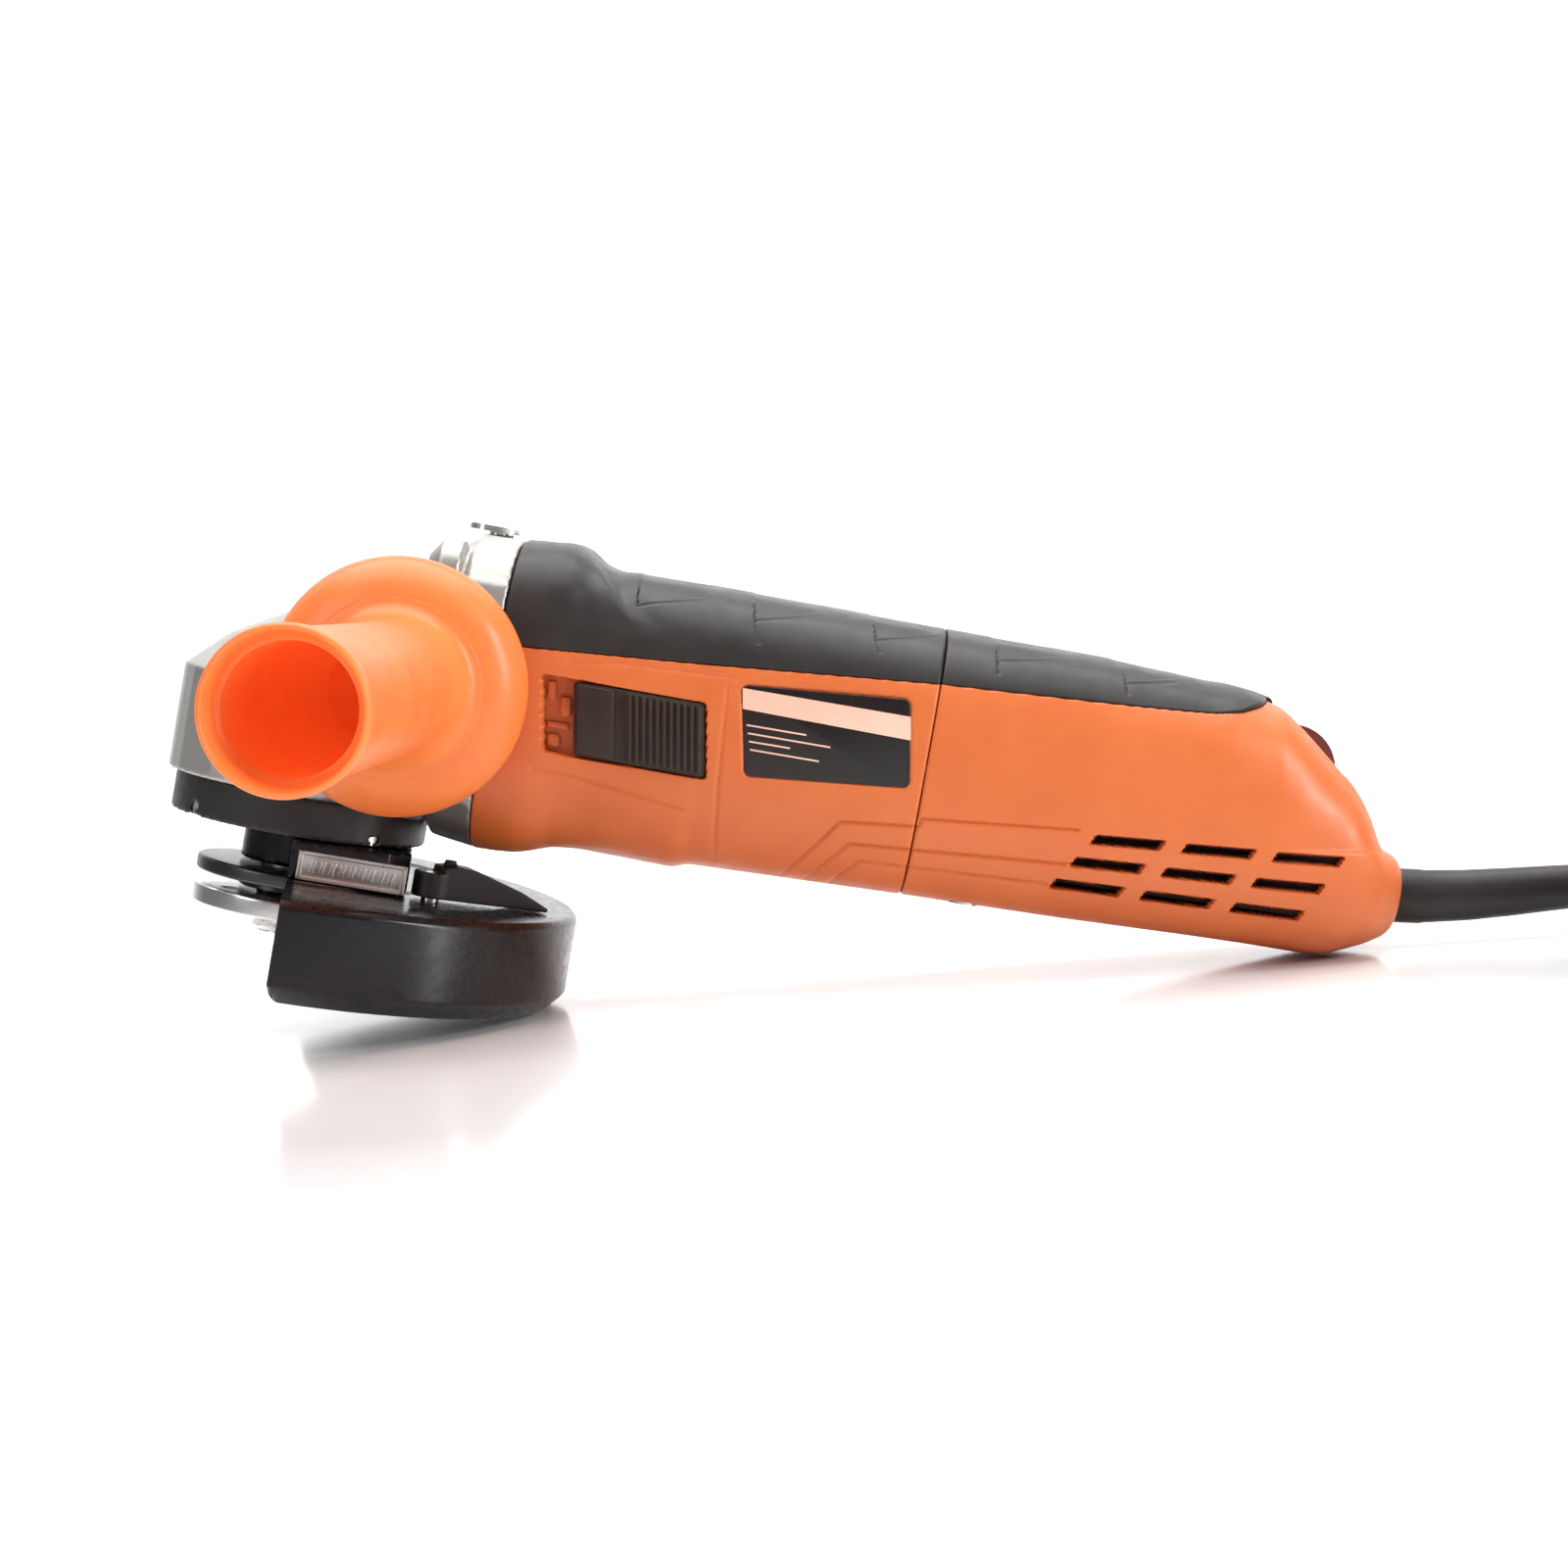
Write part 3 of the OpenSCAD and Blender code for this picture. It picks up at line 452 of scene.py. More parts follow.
def evaluated(obj):
    """The mesh of a throwaway object after its modifiers. The object is removed."""
    deps = bpy.context.evaluated_depsgraph_get()
    me = bpy.data.meshes.new_from_object(obj.evaluated_get(deps))
    bpy.data.objects.remove(obj)
    return me


def scratch(parts):
    """A throwaway object of (points, faces) parts in the tool's frame, for modifiers."""
    bm = welded(parts)
    bmesh.ops.recalc_face_normals(bm, faces=bm.faces)
    bm.transform(TOOL)
    me = bpy.data.meshes.new("scratch")
    bm.to_mesh(me)
    bm.free()
    return shown("scratch", me)


def cut(obj, cutters):
    """The mesh of a throwaway object with each of the cutter part lists taken away."""
    others = [scratch(c) for c in cutters]
    for other in others:
        mod = obj.modifiers.new("cut", "BOOLEAN")
        mod.operation, mod.solver, mod.object = "DIFFERENCE", "EXACT", other
    made = evaluated(obj)
    for other in others:
        bpy.data.objects.remove(other)
    return made


def softened(me, voxel_mm, passes, factor=0.5):
    """The solid with its edges worn round, as a casting's are."""
    obj = shown("scratch", me)
    remesh = obj.modifiers.new("remesh", "REMESH")
    remesh.mode, remesh.voxel_size, remesh.adaptivity = "VOXEL", voxel_mm * MM, 0.0
    smooth = obj.modifiers.new("smooth", "SMOOTH")
    smooth.factor, smooth.iterations = factor, passes
    return evaluated(obj)


def node_mesh(node):
    return frame["nodes"][node].data.copy()


def side_slab(outline, y_low, y_high, edge=0.25):
    """An outline in (x, z) raised towards the side handle, from -y_low to -y_high."""
    return moved(slab(outline, y_low, y_high, edge), TOWARDS_HANDLE)


def side_box(x0, x1, z0, z1, y_low, y_high, corner=0.4, edge=0.25):
    return side_slab(rounded([(x0, z0), (x1, z0), (x1, z1), (x0, z1)], corner, steps=4), y_low, y_high, edge)


# ---------------- stage and light

# in metres: the floor's front, back and half width, the bend's radius and the backdrop's height
FLOOR_FRONT, FLOOR_BACK, FLOOR_HALF, FLOOR_BEND, WALL_RISE = -4.0, 1.6, 4.0, 0.5, 2.2


def sweep_floor():
    """A pale table that curves up into a backdrop."""
    line = [(FLOOR_FRONT, 0.0), (FLOOR_BACK - FLOOR_BEND, 0.0)]
    for a in range(6, 91, 6):
        t = math.radians(a)
        line.append((FLOOR_BACK - FLOOR_BEND + FLOOR_BEND * math.sin(t), FLOOR_BEND * (1 - math.cos(t))))
    line.append((FLOOR_BACK, WALL_RISE))
    points = [(side * FLOOR_HALF, y, z) for side in (-1, 1) for y, z in line]
    n = len(line)
    faces = [(i, i + 1, n + i + 1, n + i) for i in range(n - 1)]
    me = bpy.data.meshes.new("floor")
    me.from_pydata(points, [], faces)
    finish_mesh(me, 60)
    look = Nodes("floor")
    blotch = look.ramp(look.noise(60.0, 3.0), 0.3, 0.7, 0.0, 1.0)
    look.set(Base_Color=look.mix(blotch, (0.93, 0.93, 0.935), (0.91, 0.91, 0.91)))
    look.set(Roughness=look.ramp(look.noise(30.0, 3.0), 0.3, 0.7, 0.1, 0.15), Specular_IOR_Level=0.6)
    me.materials.append(look.material)
    obj = shown("floor", me)


def area_light(name, place, target, size, power):
    data = bpy.data.lights.new(name, "AREA")
    data.shape, data.size, data.size_y, data.energy = "RECTANGLE", size[0], size[1], power
    obj = shown(name, data)
    obj.location = place
    obj.rotation_euler = (Vector(target) - Vector(place)).to_track_quat("-Z", "Y").to_euler()


sweep_floor()
area_light("overhead", (0.0, 0.1, 1.15), (0, 0, 0), (1.3, 1.1), 19.0)
area_light("front_left", (-0.9, -1.0, 0.75), (0, 0, 0.05), (0.6, 0.8), 5.5)
area_light("right_strip", (0.95, -0.35, 0.35), (0, 0, 0.05), (0.2, 0.7), 9.0)
area_light("backdrop_light", (0.0, 0.75, 1.3), (0, 1.6, 0.3), (2.6, 0.6), 26.0)

world = bpy.data.worlds.new("studio")
bpy.context.scene.world = world
world.use_nodes = True
world.node_tree.nodes["Background"].inputs["Color"].default_value = (1, 1, 1, 1)
world.node_tree.nodes["Background"].inputs["Strength"].default_value = 0.2

# ---------------- housing and grip

JOINT_X, SPLIT_X, TAIL_X = 41.15, 136.2, 245.4
# Stations of the body, each (x, top, bottom, half width, squareness)
BODY = np.array([
    (40, 34.9, -34.6, 34.4, 3.4), (46, 35.5, -34.5, 34.6, 3.4), (50.5, 35.5, -34.1, 34.5, 3.4),
    (54, 34.7, -33.1, 34.2, 3.3), (58, 33.0, -31.6, 33.6, 3.2), (64, 32.0, -31.0, 33.2, 3.1),
    (85.6, 32.2, -31.4, 33, 3.1), (88.2, 32.2, -30.1, 33, 3.1), (136.2, 31.7, -28.4, 32.8, 3.1),
    (173, 31.6, -27.4, 32, 3.1), (200, 30.2, -26.3, 31, 3.1), (212.5, 27.6, -25.9, 30.2, 3.1),
    (217.6, 24.2, -25.8, 29.4, 3.1), (222, 20.8, -25.8, 28.4, 3), (227, 16.9, -25.8, 27, 3),
    (231.4, 13.3, -25.2, 25.6, 3), (235.6, 8.2, -23.4, 23.6, 2.8), (239.7, 0.4, -21.5, 21.2, 2.7),
    (241.2, -0.1, -20.6, 19.4, 2.7), (243.6, -0.6, -19.4, 16.4, 2.6), (245.4, -1.4, -18.6, 13.4, 2.6)])
GRIP_LINE = np.array([(40, 11.6), (47.6, 12.2), (81.4, 14.9), (136.2, 19.9), (178, 22.5), (189.9, 23.4),
                      (196.2, 24), (201.7, 25.1), (205.4, 26.6), (208.3, 28.1), (212, 29.6)])
GRIP_END = 211.4
fine_x = np.arange(30.0, 260.0, 0.1)


def eased(column, sigma=1.1):
    """A station column along fine_x, its corners rounded over sigma mm."""
    raw = np.interp(fine_x, BODY[:, 0], BODY[:, column])
    k = np.arange(-40, 41) * 0.1
    w = np.exp(-((k / sigma) ** 2) / 2)
    return np.convolve(np.pad(raw, 40, mode="edge"), w / w.sum(), mode="valid")


TOP, BOTTOM, HALF, SQUARE = (eased(c) for c in (1, 2, 3, 4))
sides_of_ring = np.linspace(0, 2 * math.pi, 2401)


def ring(x, inset):
    """The body's outline at x as (y, z) arrays, moved in by inset.
    It runs from under the keel past the handle's side and over the top."""
    top, low = np.interp(x, fine_x, TOP) - inset, np.interp(x, fine_x, BOTTOM) + inset
    half, square = np.interp(x, fine_x, HALF) - inset, np.interp(x, fine_x, SQUARE)
    s, c = np.sin(sides_of_ring), np.cos(sides_of_ring)
    power = 2 / square
    y = -half * np.sign(s) * np.abs(s) ** power
    z = (top + low) / 2 - (top - low) / 2 * np.sign(c) * np.abs(c) ** power
    return y, z


def along(y, z):
    """The length of an outline up to each of its points."""
    return np.concatenate([[0], np.cumsum(np.hypot(np.diff(y), np.diff(z)))])


def smooth01(v):
    v = np.clip(v, 0, 1)
    return v * v * (3 - 2 * v)


def inside(distance, width):
    """1 well inside a signed distance, 0 outside, easing over width."""
    return smooth01(0.5 - distance / width)


def groove(distance, depth, width):
    """The depth of a soft groove at a distance from its middle."""
    return depth * np.exp(-((distance / width) ** 2))


def flank(y):
    """1 on the body's sides, easing to 0 over the top and the keel."""
    return smooth01((np.abs(y) - 12) / 6)


def quad_distance(x, z, corners, radius):
    """Signed distance (negative inside) to a convex outline given clockwise or not, its corners rounded."""
    pts = np.array(corners, float)
    centre = pts.mean(0)
    planes = []
    for a, b in zip(pts, np.roll(pts, -1, axis=0)):
        n = np.array((b[1] - a[1], a[0] - b[0]))
        n = n / np.hypot(*n)
        if n @ (centre - a) > 0:
            n = -n
        planes.append(n[0] * (x - a[0]) + n[1] * (z - a[1]) + radius)
    outer = np.sqrt(sum(np.maximum(p, 0) ** 2 for p in planes))
    return np.where(np.max(planes, axis=0) > 0, outer, np.max(planes, axis=0)) - radius


def line_distance(x, z, points):
    """Distance to an open line through points."""
    best = np.full(x.shape, 1e9)
    for (ax, az), (bx, bz) in zip(points, points[1:]):
        dx, dz = bx - ax, bz - az
        t = np.clip(((x - ax) * dx + (z - az) * dz) / (dx * dx + dz * dz), 0, 1)
        best = np.minimum(best, np.hypot(x - ax - t * dx, z - az - t * dz))
    return best


WINDOW = [(51.7, 7.2), (87.2, 7.0), (89.9, -9.1), (54.5, -9.3)]
PLATE = [(94.1, 12.3), (130.2, 15.4), (133.4, -3.2), (98.0, -6.9)]
CHEVRONS = [
    [(106, -33), (111.6, -25.1), (119.8, -13.1), (136.6, -11.2), (137.1, -9.4), (170.7, -5.9)],
    [(111.5, -33), (117.3, -24.6), (122.7, -17.6), (136.5, -16.5), (171.2, -13.6)],
    [(117, -33), (122.2, -25.2), (125.6, -21.3), (136.4, -20.6), (166.3, -19.0)]]
PANEL_CREASES = [
    [(56.5, 10.6), (66, 12.2), (92, 13.6)],
    [(53, -13.2), (60, -13.4), (86, -16.6)],
    [(91.2, 11.5), (92.6, -9.5), (94.6, -27)]]
TAIL_CREASE = [(199, -4.6), (216, -2.6), (236.5, 0.3), (246, 1.2)]
VENT_DEPTH = 2.5
VENT_X, VENT_Z = 174.9, -6.2
VENT_LENGTH, VENT_WIDTH, VENT_SLANT = 14.9, 2.3, 1.1
VENT_ROW, VENT_ROW_BACK, VENT_COLUMN = 5.5, 3.3, 19.7
VENT_CORNER = 0.25
SEAT_DEPTH, PLATE_DEPTH, TAIL_DROP, DIAL_DEPTH = 1.6, 0.45, 0.7, 2.6
DIAL_AT, DIAL_WELL = (217.5, 14.3), (11.0, 11.6)
WINDOW_FLOOR = 29.8


def vent(i, j):
    """Air slot in row i from the top, column j from the front."""
    x = VENT_X - VENT_ROW_BACK * i + VENT_COLUMN * j
    z = VENT_Z - VENT_ROW * i + (1.5 - 0.35 * i) * j
    rise = 1.3 - 0.3 * i
    end, low = x + VENT_LENGTH, z - VENT_WIDTH
    return [(x, z), (end, z + rise), (end - VENT_SLANT, low + rise), (x - VENT_SLANT, low)]


def vents_distance(x, z):
    return np.min([quad_distance(x, z, vent(i, j), VENT_CORNER) for i in range(3) for j in range(3)], axis=0)


def shell_depth(x, y, z):
    """How far the hard shell is pressed in at each point, in mm."""
    handle_side = y < -5
    grip_line = np.interp(x, GRIP_LINE[:, 0], GRIP_LINE[:, 1])
    depth = SEAT_DEPTH * inside(grip_line - z + 0.1, 0.5) * (x < GRIP_END)
    for path in CHEVRONS:
        depth = depth + groove(line_distance(x, z, path), 0.6, 0.36) * flank(y)
    crease = np.interp(x, [p[0] for p in TAIL_CREASE], [p[1] for p in TAIL_CREASE])
    low_tail = smooth01((x - TAIL_CREASE[0][0]) / 30) * flank(y)
    depth = depth + TAIL_DROP * inside(crease - z, 1.2) * low_tail * smooth01((z - crease + 9) / 9)
    for path in PANEL_CREASES:
        depth = depth + groove(line_distance(x, z, path), 0.3, 0.34) * handle_side
    window = inside(quad_distance(x, z, WINDOW, 0.8), 0.3)
    depth = depth + (np.abs(y) - WINDOW_FLOOR) * window * handle_side
    depth = depth + PLATE_DEPTH * inside(quad_distance(x, z, PLATE, 1.6) - 0.25, 0.35) * handle_side
    dial_well = inside(np.hypot(x - DIAL_AT[0], z - DIAL_AT[1]) - DIAL_WELL[1], 0.4)
    dial_well = dial_well * inside(np.abs(y) - DIAL_WELL[0], 5.0) * (z > 0)
    return depth + DIAL_DEPTH * dial_well


def vent_depth(x, y, z):
    """How far the shell is pressed straight across the tool inside its air slots, in mm."""
    return VENT_DEPTH * inside(vents_distance(x, z), 0.35) * flank(y)


# The grip's wedge pockets: where the front line starts, its foot, and where the ledge meets the top
RIBS = [((68, 29.5), (68.6, 26.1), (82.7, 29.5)), ((93.3, 30.1), (94.2, 27.0), (107.5, 30.4)),
        ((119.5, 30.8), (120.8, 27.4), (134.3, 30.5)), ((146.7, 30.9), (147.6, 27.6), (159.8, 29.8)),
        ((174.6, 30.1), (176, 27.6), (187, 29.7))]
RIB_FEET = [(68.8, 25.4), (96.1, 21.7), (122.2, 24.4), (148.3, 24.3), (176.7, 24.8)]
RIB_DEPTH = 0.8
GRIP_TIP_RISE = 1.1


def grip_depth(x, y, z):
    """How far the grip is pressed in at each point, in mm. Less than 0 is raised."""
    depth = np.zeros(x.shape)
    for (top_x, top_z), (foot_x, foot_z), (end_x, end_z) in RIBS:
        front = foot_x + (top_x - foot_x) * (z - foot_z) / (top_z - foot_z)
        ledge = foot_z + (end_z - foot_z) * (x - foot_x) / (end_x - foot_x)
        pocket = inside(front - x, 0.3) * inside(ledge - z, 0.3) * inside(x - end_x, 0.5)
        side = 0.2 + 0.8 * smooth01((np.abs(y) - 15) / 8)
        share = np.clip((x - foot_x) / (end_x - foot_x), 0, 1)
        depth = depth + RIB_DEPTH * side * pocket * (1 - 0.45 * share)
        under_ledge = groove(np.abs(z - ledge + 0.75), 0.22, 0.28)
        depth = depth + under_ledge * inside(foot_x - x, 0.4) * inside(x - end_x, 1.0)
    for (_, foot, _), low in zip(RIBS, RIB_FEET):
        depth = depth + groove(line_distance(x, z, [foot, low]), 0.3, 0.3)
    # the raised front, its slanting edge and the hollow behind it
    ridge = 54.5 + (34.1 - np.clip(z, 22, 36)) * 0.98
    swell = 1 - smooth01((x - ridge) / 3.2)
    reach = smooth01((z - 20) / 7)
    depth = depth - 0.9 * swell * reach * smooth01((x - 46) / 8)
    depth = depth + 0.5 * inside(np.abs(x - ridge - 5.5) - 2.5, 5.0) * smooth01((z - 18) / 9)
    return depth - GRIP_TIP_RISE * smooth01((x - 194) / 14)


EDGE_CURL, EDGE_SHARE = 1.2, 0.006  # how far an open skin's long edges turn in, and over which share of a row


def skin(name, columns, curls, rows, arc, depth_of, slot, replaces, holes=None, cap=False, across=None):
    """A run of body rings at columns, each pulled in by its curl, then pressed in by depth_of.
    rows are shares from 0 to 1 along each ring, and arc(x, curl) gives the ring as (y, z) arrays.
    The rings are closed where holes is given, which says where the skin is open, and open otherwise.
    cap closes the last ring, and across presses the skin straight in along y."""
    nx, nr = len(columns), len(rows)
    base = np.zeros((nx, nr, 3))
    for i, (x, curl) in enumerate(zip(columns, curls)):
        y, z = arc(x, curl)
        s = along(y, z)
        base[i, :, 0] = x
        base[i, :, 1] = np.interp(rows * s[-1], s, y)
        base[i, :, 2] = np.interp(rows * s[-1], s, z)
    closed = holes is not None
    if closed:
        wrapped = np.concatenate([base[:, -1:], base, base[:, :1]], axis=1)
        dv = wrapped[:, 2:] - wrapped[:, :-2]
    else:
        dv = np.gradient(base, axis=1)
    normal = np.zeros_like(base)
    normal[..., 1], normal[..., 2] = dv[..., 2], -dv[..., 1]
    length = np.linalg.norm(normal, axis=2, keepdims=True)
    normal = normal / np.maximum(length, 1e-9)
    x, y, z = base[..., 0], base[..., 1], base[..., 2]
    depth = depth_of(x, y, z)
    if not closed:
        short = 1 - np.clip(np.minimum(rows, 1 - rows) / EDGE_SHARE, 0, 1)
        depth = depth + EDGE_CURL * (1 - np.sqrt(np.clip(1 - short ** 2, 0, 1)))
    outward = np.sign((normal[..., 1] * y + normal[..., 2] * (z - 2)).mean())
    moved_points = base - (outward * depth)[..., None] * normal
    if across is not None:
        moved_points[..., 1] -= np.sign(y) * across(x, y, z)
    points = moved_points.reshape(-1, 3)
    i, j = np.meshgrid(np.arange(nx - 1), np.arange(nr if closed else nr - 1), indexing="ij")
    k = (j + 1) % nr
    quads = np.stack([i * nr + j, (i + 1) * nr + j, (i + 1) * nr + k, i * nr + k], axis=-1)
    if closed:
        open_here = holes(x, y, z).reshape(-1)
        quads = quads[~(open_here[quads].all(axis=-1))]
    quads = quads.reshape(-1, 4)
    me = bpy.data.meshes.new(name)
    faces = quads.tolist()
    # faces deep in the air slots take the second material, the dark brown painted shade
    deep = np.zeros(len(points), bool) if across is None else across(x, y, z).reshape(-1) > 0.5 * VENT_DEPTH
    painted_shade_faces = deep[quads].all(axis=-1).astype(np.int32).tolist()
    if cap:
        faces.append(list(range((nx - 1) * nr, nx * nr)))
        painted_shade_faces.append(0)
    me.from_pydata(points.tolist(), [], faces)
    me.polygons.foreach_set("material_index", painted_shade_faces)
    me.transform(TOOL)
    bm = bmesh.new()
    bm.from_mesh(me)
    bmesh.ops.delete(bm, geom=[v for v in bm.verts if not v.link_faces], context="VERTS")
    bmesh.ops.recalc_face_normals(bm, faces=bm.faces)
    bm.to_mesh(me)
    bm.free()
    obj = adopt(name, me, slot, "root", replaces, 50)
    # the second material is the dark brown painted shade for the air slots
    obj.data.materials.append(VENT_SHADE_BROWN)
    return obj


ROWS = 560
shares = np.linspace(0, 1, ROWS, endpoint=False)


def near_share(middle):
    return np.exp(-((shares - middle) / 0.13) ** 2)


# rows along a whole ring, finer on the flanks, at 0.25 and 0.75, than over the top and the keel
ring_rows = np.cumsum(1 / (1 + 1.6 * near_share(0.25) + 0.9 * near_share(0.75)))
ring_rows = (ring_rows - ring_rows[0]) / (ring_rows[-1] + (ring_rows[-1] - ring_rows[-2]) - ring_rows[0])
# rows along the grip, as (from, to, how many), finest at its two long edges
GRIP_ROWS = ((0, 0.012, 8), (0.012, 0.35, 90), (0.35, 0.65, 60), (0.65, 0.988, 70), (0.988, 1, 8))
grip_rows = np.concatenate([np.linspace(a, b, n, endpoint=b == 1) for a, b, n in GRIP_ROWS])
LIP_R, LIP_TUCK = 0.6, 1.2


def lip(x_end, inward, steps=5, radius=LIP_R, tuck=LIP_TUCK):
    """Columns and curls for a rounded edge that turns in at x_end.
    inward is +1 where the piece lies past x_end, and -1 where it lies before."""
    cols, curls = [x_end], [radius + tuck]
    for k in range(steps + 1):
        t = math.pi / 2 * k / steps
        cols.append(x_end + inward * radius * (1 - math.cos(t)))
        curls.append(radius * (1 - math.sin(t)))
    return cols, curls


def run(x0, x1, step, end_radius=LIP_R, end_tuck=LIP_TUCK):
    """Columns and curls from x0 to x1, with a rounded edge at both ends."""
    first, first_curl = lip(x0, 1)
    last, last_curl = lip(x1, -1, steps=8 if end_radius > 1 else 5, radius=end_radius, tuck=end_tuck)
    middle = list(np.arange(x0 + LIP_R + step, x1 - end_radius - step / 2, step))
    curls = first_curl + [0.0] * len(middle) + last_curl[::-1]
    return np.array(first + middle + last[::-1]), np.array(curls)


def grip_arc(x, curl):
    """The part of the ring at x that lies above the grip's line."""
    y, z = ring(x, curl)
    line = np.interp(x, GRIP_LINE[:, 0], GRIP_LINE[:, 1])
    quarter = len(y) // 4
    up = slice(quarter // 2, 2 * quarter)
    start = np.interp(line, z[up], sides_of_ring[up])
    inner = (sides_of_ring > start) & (sides_of_ring < 2 * math.pi - start)
    y0, z0 = np.interp(start, sides_of_ring, y), np.interp(start, sides_of_ring, z)
    return np.concatenate([[y0], y[inner], [-y0]]), np.concatenate([[z0], z[inner], [z0]])


def vents_open(x, y, z):
    return (vents_distance(x, z) < -0.3) & (np.abs(y) > 14)


def nothing_open(x, y, z):
    return np.zeros(x.shape, bool)


STEP = 0.42
HALF_GAP = 0.12  # of the split between housing and rear cover
columns, curls = run(JOINT_X, SPLIT_X - HALF_GAP, STEP)
skin("housing_shell", columns, curls, ring_rows, ring, shell_depth, "orange_shell", ("motor_housing",),
     nothing_open)
columns, curls = run(SPLIT_X + HALF_GAP, TAIL_X, STEP, end_radius=2.6, end_tuck=2.0)
skin("tail_shell", columns, curls, ring_rows, ring, shell_depth, "orange_shell", ("rear_cover",), vents_open,
     cap=True, across=vent_depth)
columns, curls = run(JOINT_X + 0.2, SPLIT_X - HALF_GAP, STEP)
skin("grip_front", columns, curls, grip_rows, grip_arc, grip_depth, "grip_rubber", ("front_grip",))
columns, curls = run(SPLIT_X + HALF_GAP, GRIP_END, STEP, end_radius=1.2)
skin("grip_rear", columns, curls, grip_rows, grip_arc, grip_depth, "grip_rubber", ("rear_grip",))

# ---------------- side handle

HANDLE = TOOL @ at(22.7, 0, -0.4) @ TOWARDS_HANDLE
HANDLE_END, HANDLE_GUARD_R = 181.7, 27.7


def handle_outline():
    """(radius, distance from the motor's axis), from the base over the finger guard to the bore's bottom."""
    r = HANDLE_GUARD_R
    base = [(0, 35.1), (9.9, 35.1), (9.9, 40), (17, 41), (r - 0.6, 41.4)]
    dome = [(16.2 + (r - 16.2) * math.cos(math.radians(a)), 43.4 + 10.2 * math.sin(math.radians(a)))
            for a in range(0, 76, 5)]
    ring_up = [(19.3, 53.2), (18.9, 53.5), (18.4, 53.6)]
    cove = [(17.2, 54.2), (16.2, 55.6), (15.3, 58.0), (14.7, 61.5), (14.3, 65.5)]
    tube = [(14.15, 70), (14.0, 95), (14.0, 130), (14.1, 160), (14.2, HANDLE_END - 9)]
    lip_out = [(14.5, HANDLE_END - 7), (14.85, HANDLE_END - 5.5), (14.9, HANDLE_END - 1.2),
               (14.75, HANDLE_END - 0.5), (14.4, HANDLE_END - 0.1), (14.0, HANDLE_END)]
    bore = [(13.75, HANDLE_END - 0.25), (13.5, HANDLE_END - 1.2), (13.0, HANDLE_END - 6.5),
            (12.6, HANDLE_END - 7.2), (11.9, HANDLE_END - 7.6), (11.75, HANDLE_END - 8.2),
            (11.6, 120), (11.4, 70), (11, 66.6), (10, 66), (0, 66)]
    return base + dome + ring_up + cove + tube + lip_out + bore


piece("handle", [turned(handle_outline(), 160)], "handle_orange", "root", ("side_handle",), HANDLE, 45)

# ---------------- guard

GUARD_R, GUARD_TOP, GUARD_BOTTOM, SHEET = 65.7, -46.7, -68.65, 1.6
RIM_R = GUARD_R - 3.7


def guard_outline():
    outline = [(22.6, GUARD_TOP), (30.5, GUARD_TOP), (31.6, GUARD_TOP - 0.5), (50, GUARD_TOP - 0.5),
               (51.2, GUARD_TOP), (GUARD_R - 1.2, GUARD_TOP), (GUARD_R, GUARD_TOP - 1.4),
               (GUARD_R, GUARD_BOTTOM + 4.0), (RIM_R, GUARD_BOTTOM), (RIM_R - 1.2, GUARD_BOTTOM + 1.1),
               (GUARD_R - SHEET, GUARD_BOTTOM + 4.6), (GUARD_R - SHEET, GUARD_TOP - 2.6),
               (GUARD_R - 2.8, GUARD_TOP - SHEET), (22.6, GUARD_TOP - SHEET)]
    radii = [0.3, 1, 1, 1, 1, 1.6, 1.2, 1.5, 0.5, 0.5, 1.2, 1.0, 1.0, 0.3]
    return rounded(outline, radii, steps=4)


def guard_parts(corner=4.0):
    """The turned sheet, with the skirt's lower corners rounded at both open ends."""
    points, faces = turned(guard_outline(), 300, -90, 180, closed=True)
    worn = []
    for x, y, z in points:
        short = corner - min(max(x, 0.0), corner)
        lowest = GUARD_BOTTOM + corner - math.sqrt(corner * corner - short * short)
        worn.append((x, y, max(z, lowest)))
    return worn, faces


piece("guard_sheet", [guard_parts()], "guard_black", "guard", ("guard_shell",), GUARD, 32)

# the clamp's plate: a frame with a row of short bars, no lettering
CLAMP_X, CLAMP_Z, CLAMP_FACE = (1.6, 25.4), (GUARD_TOP + 0.2, GUARD_TOP + 6.6), 26.9
CLAMP_RIM_Z, CLAMP_RIM_X = 0.9, 1.1
CLAMP_BARS, BAR_STEP, BAR_WIDTH, BAR_LEAN, BAR_INSET = 9, 2.15, 1.1, 0.5, 1.8


def clamp_plate_parts():
    x0, x1, z0, z1 = *CLAMP_X, *CLAMP_Z
    parts = [side_box(x0, x1, z0, z1, 26.02, CLAMP_FACE - 0.6, 0.5, 0.15)]
    rim = ((x0, x1, z1 - CLAMP_RIM_Z, z1), (x0, x1, z0, z0 + CLAMP_RIM_Z),
           (x0, x0 + CLAMP_RIM_X, z0, z1), (x1 - CLAMP_RIM_X, x1, z0, z1))
    for a, b, c, d in rim:
        parts.append(side_box(a, b, c, d, 26.3, CLAMP_FACE, 0.3, 0.15))
    foot, head = z0 + BAR_INSET, z1 - BAR_INSET
    for k in range(CLAMP_BARS):
        x = x0 + 2.6 + BAR_STEP * k
        bar = [(x, foot), (x + BAR_WIDTH, foot), (x + BAR_WIDTH + BAR_LEAN, head), (x + BAR_LEAN, head)]
        parts.append(side_slab(rounded(bar, 0.25, steps=3), 26.3, CLAMP_FACE - 0.1, 0.12))
    return parts


piece("clamp_badge", clamp_plate_parts(), "clamp_steel", "guard", ("clamp_plate",), GUARD, 40)

# ---------------- head, flanges and small parts

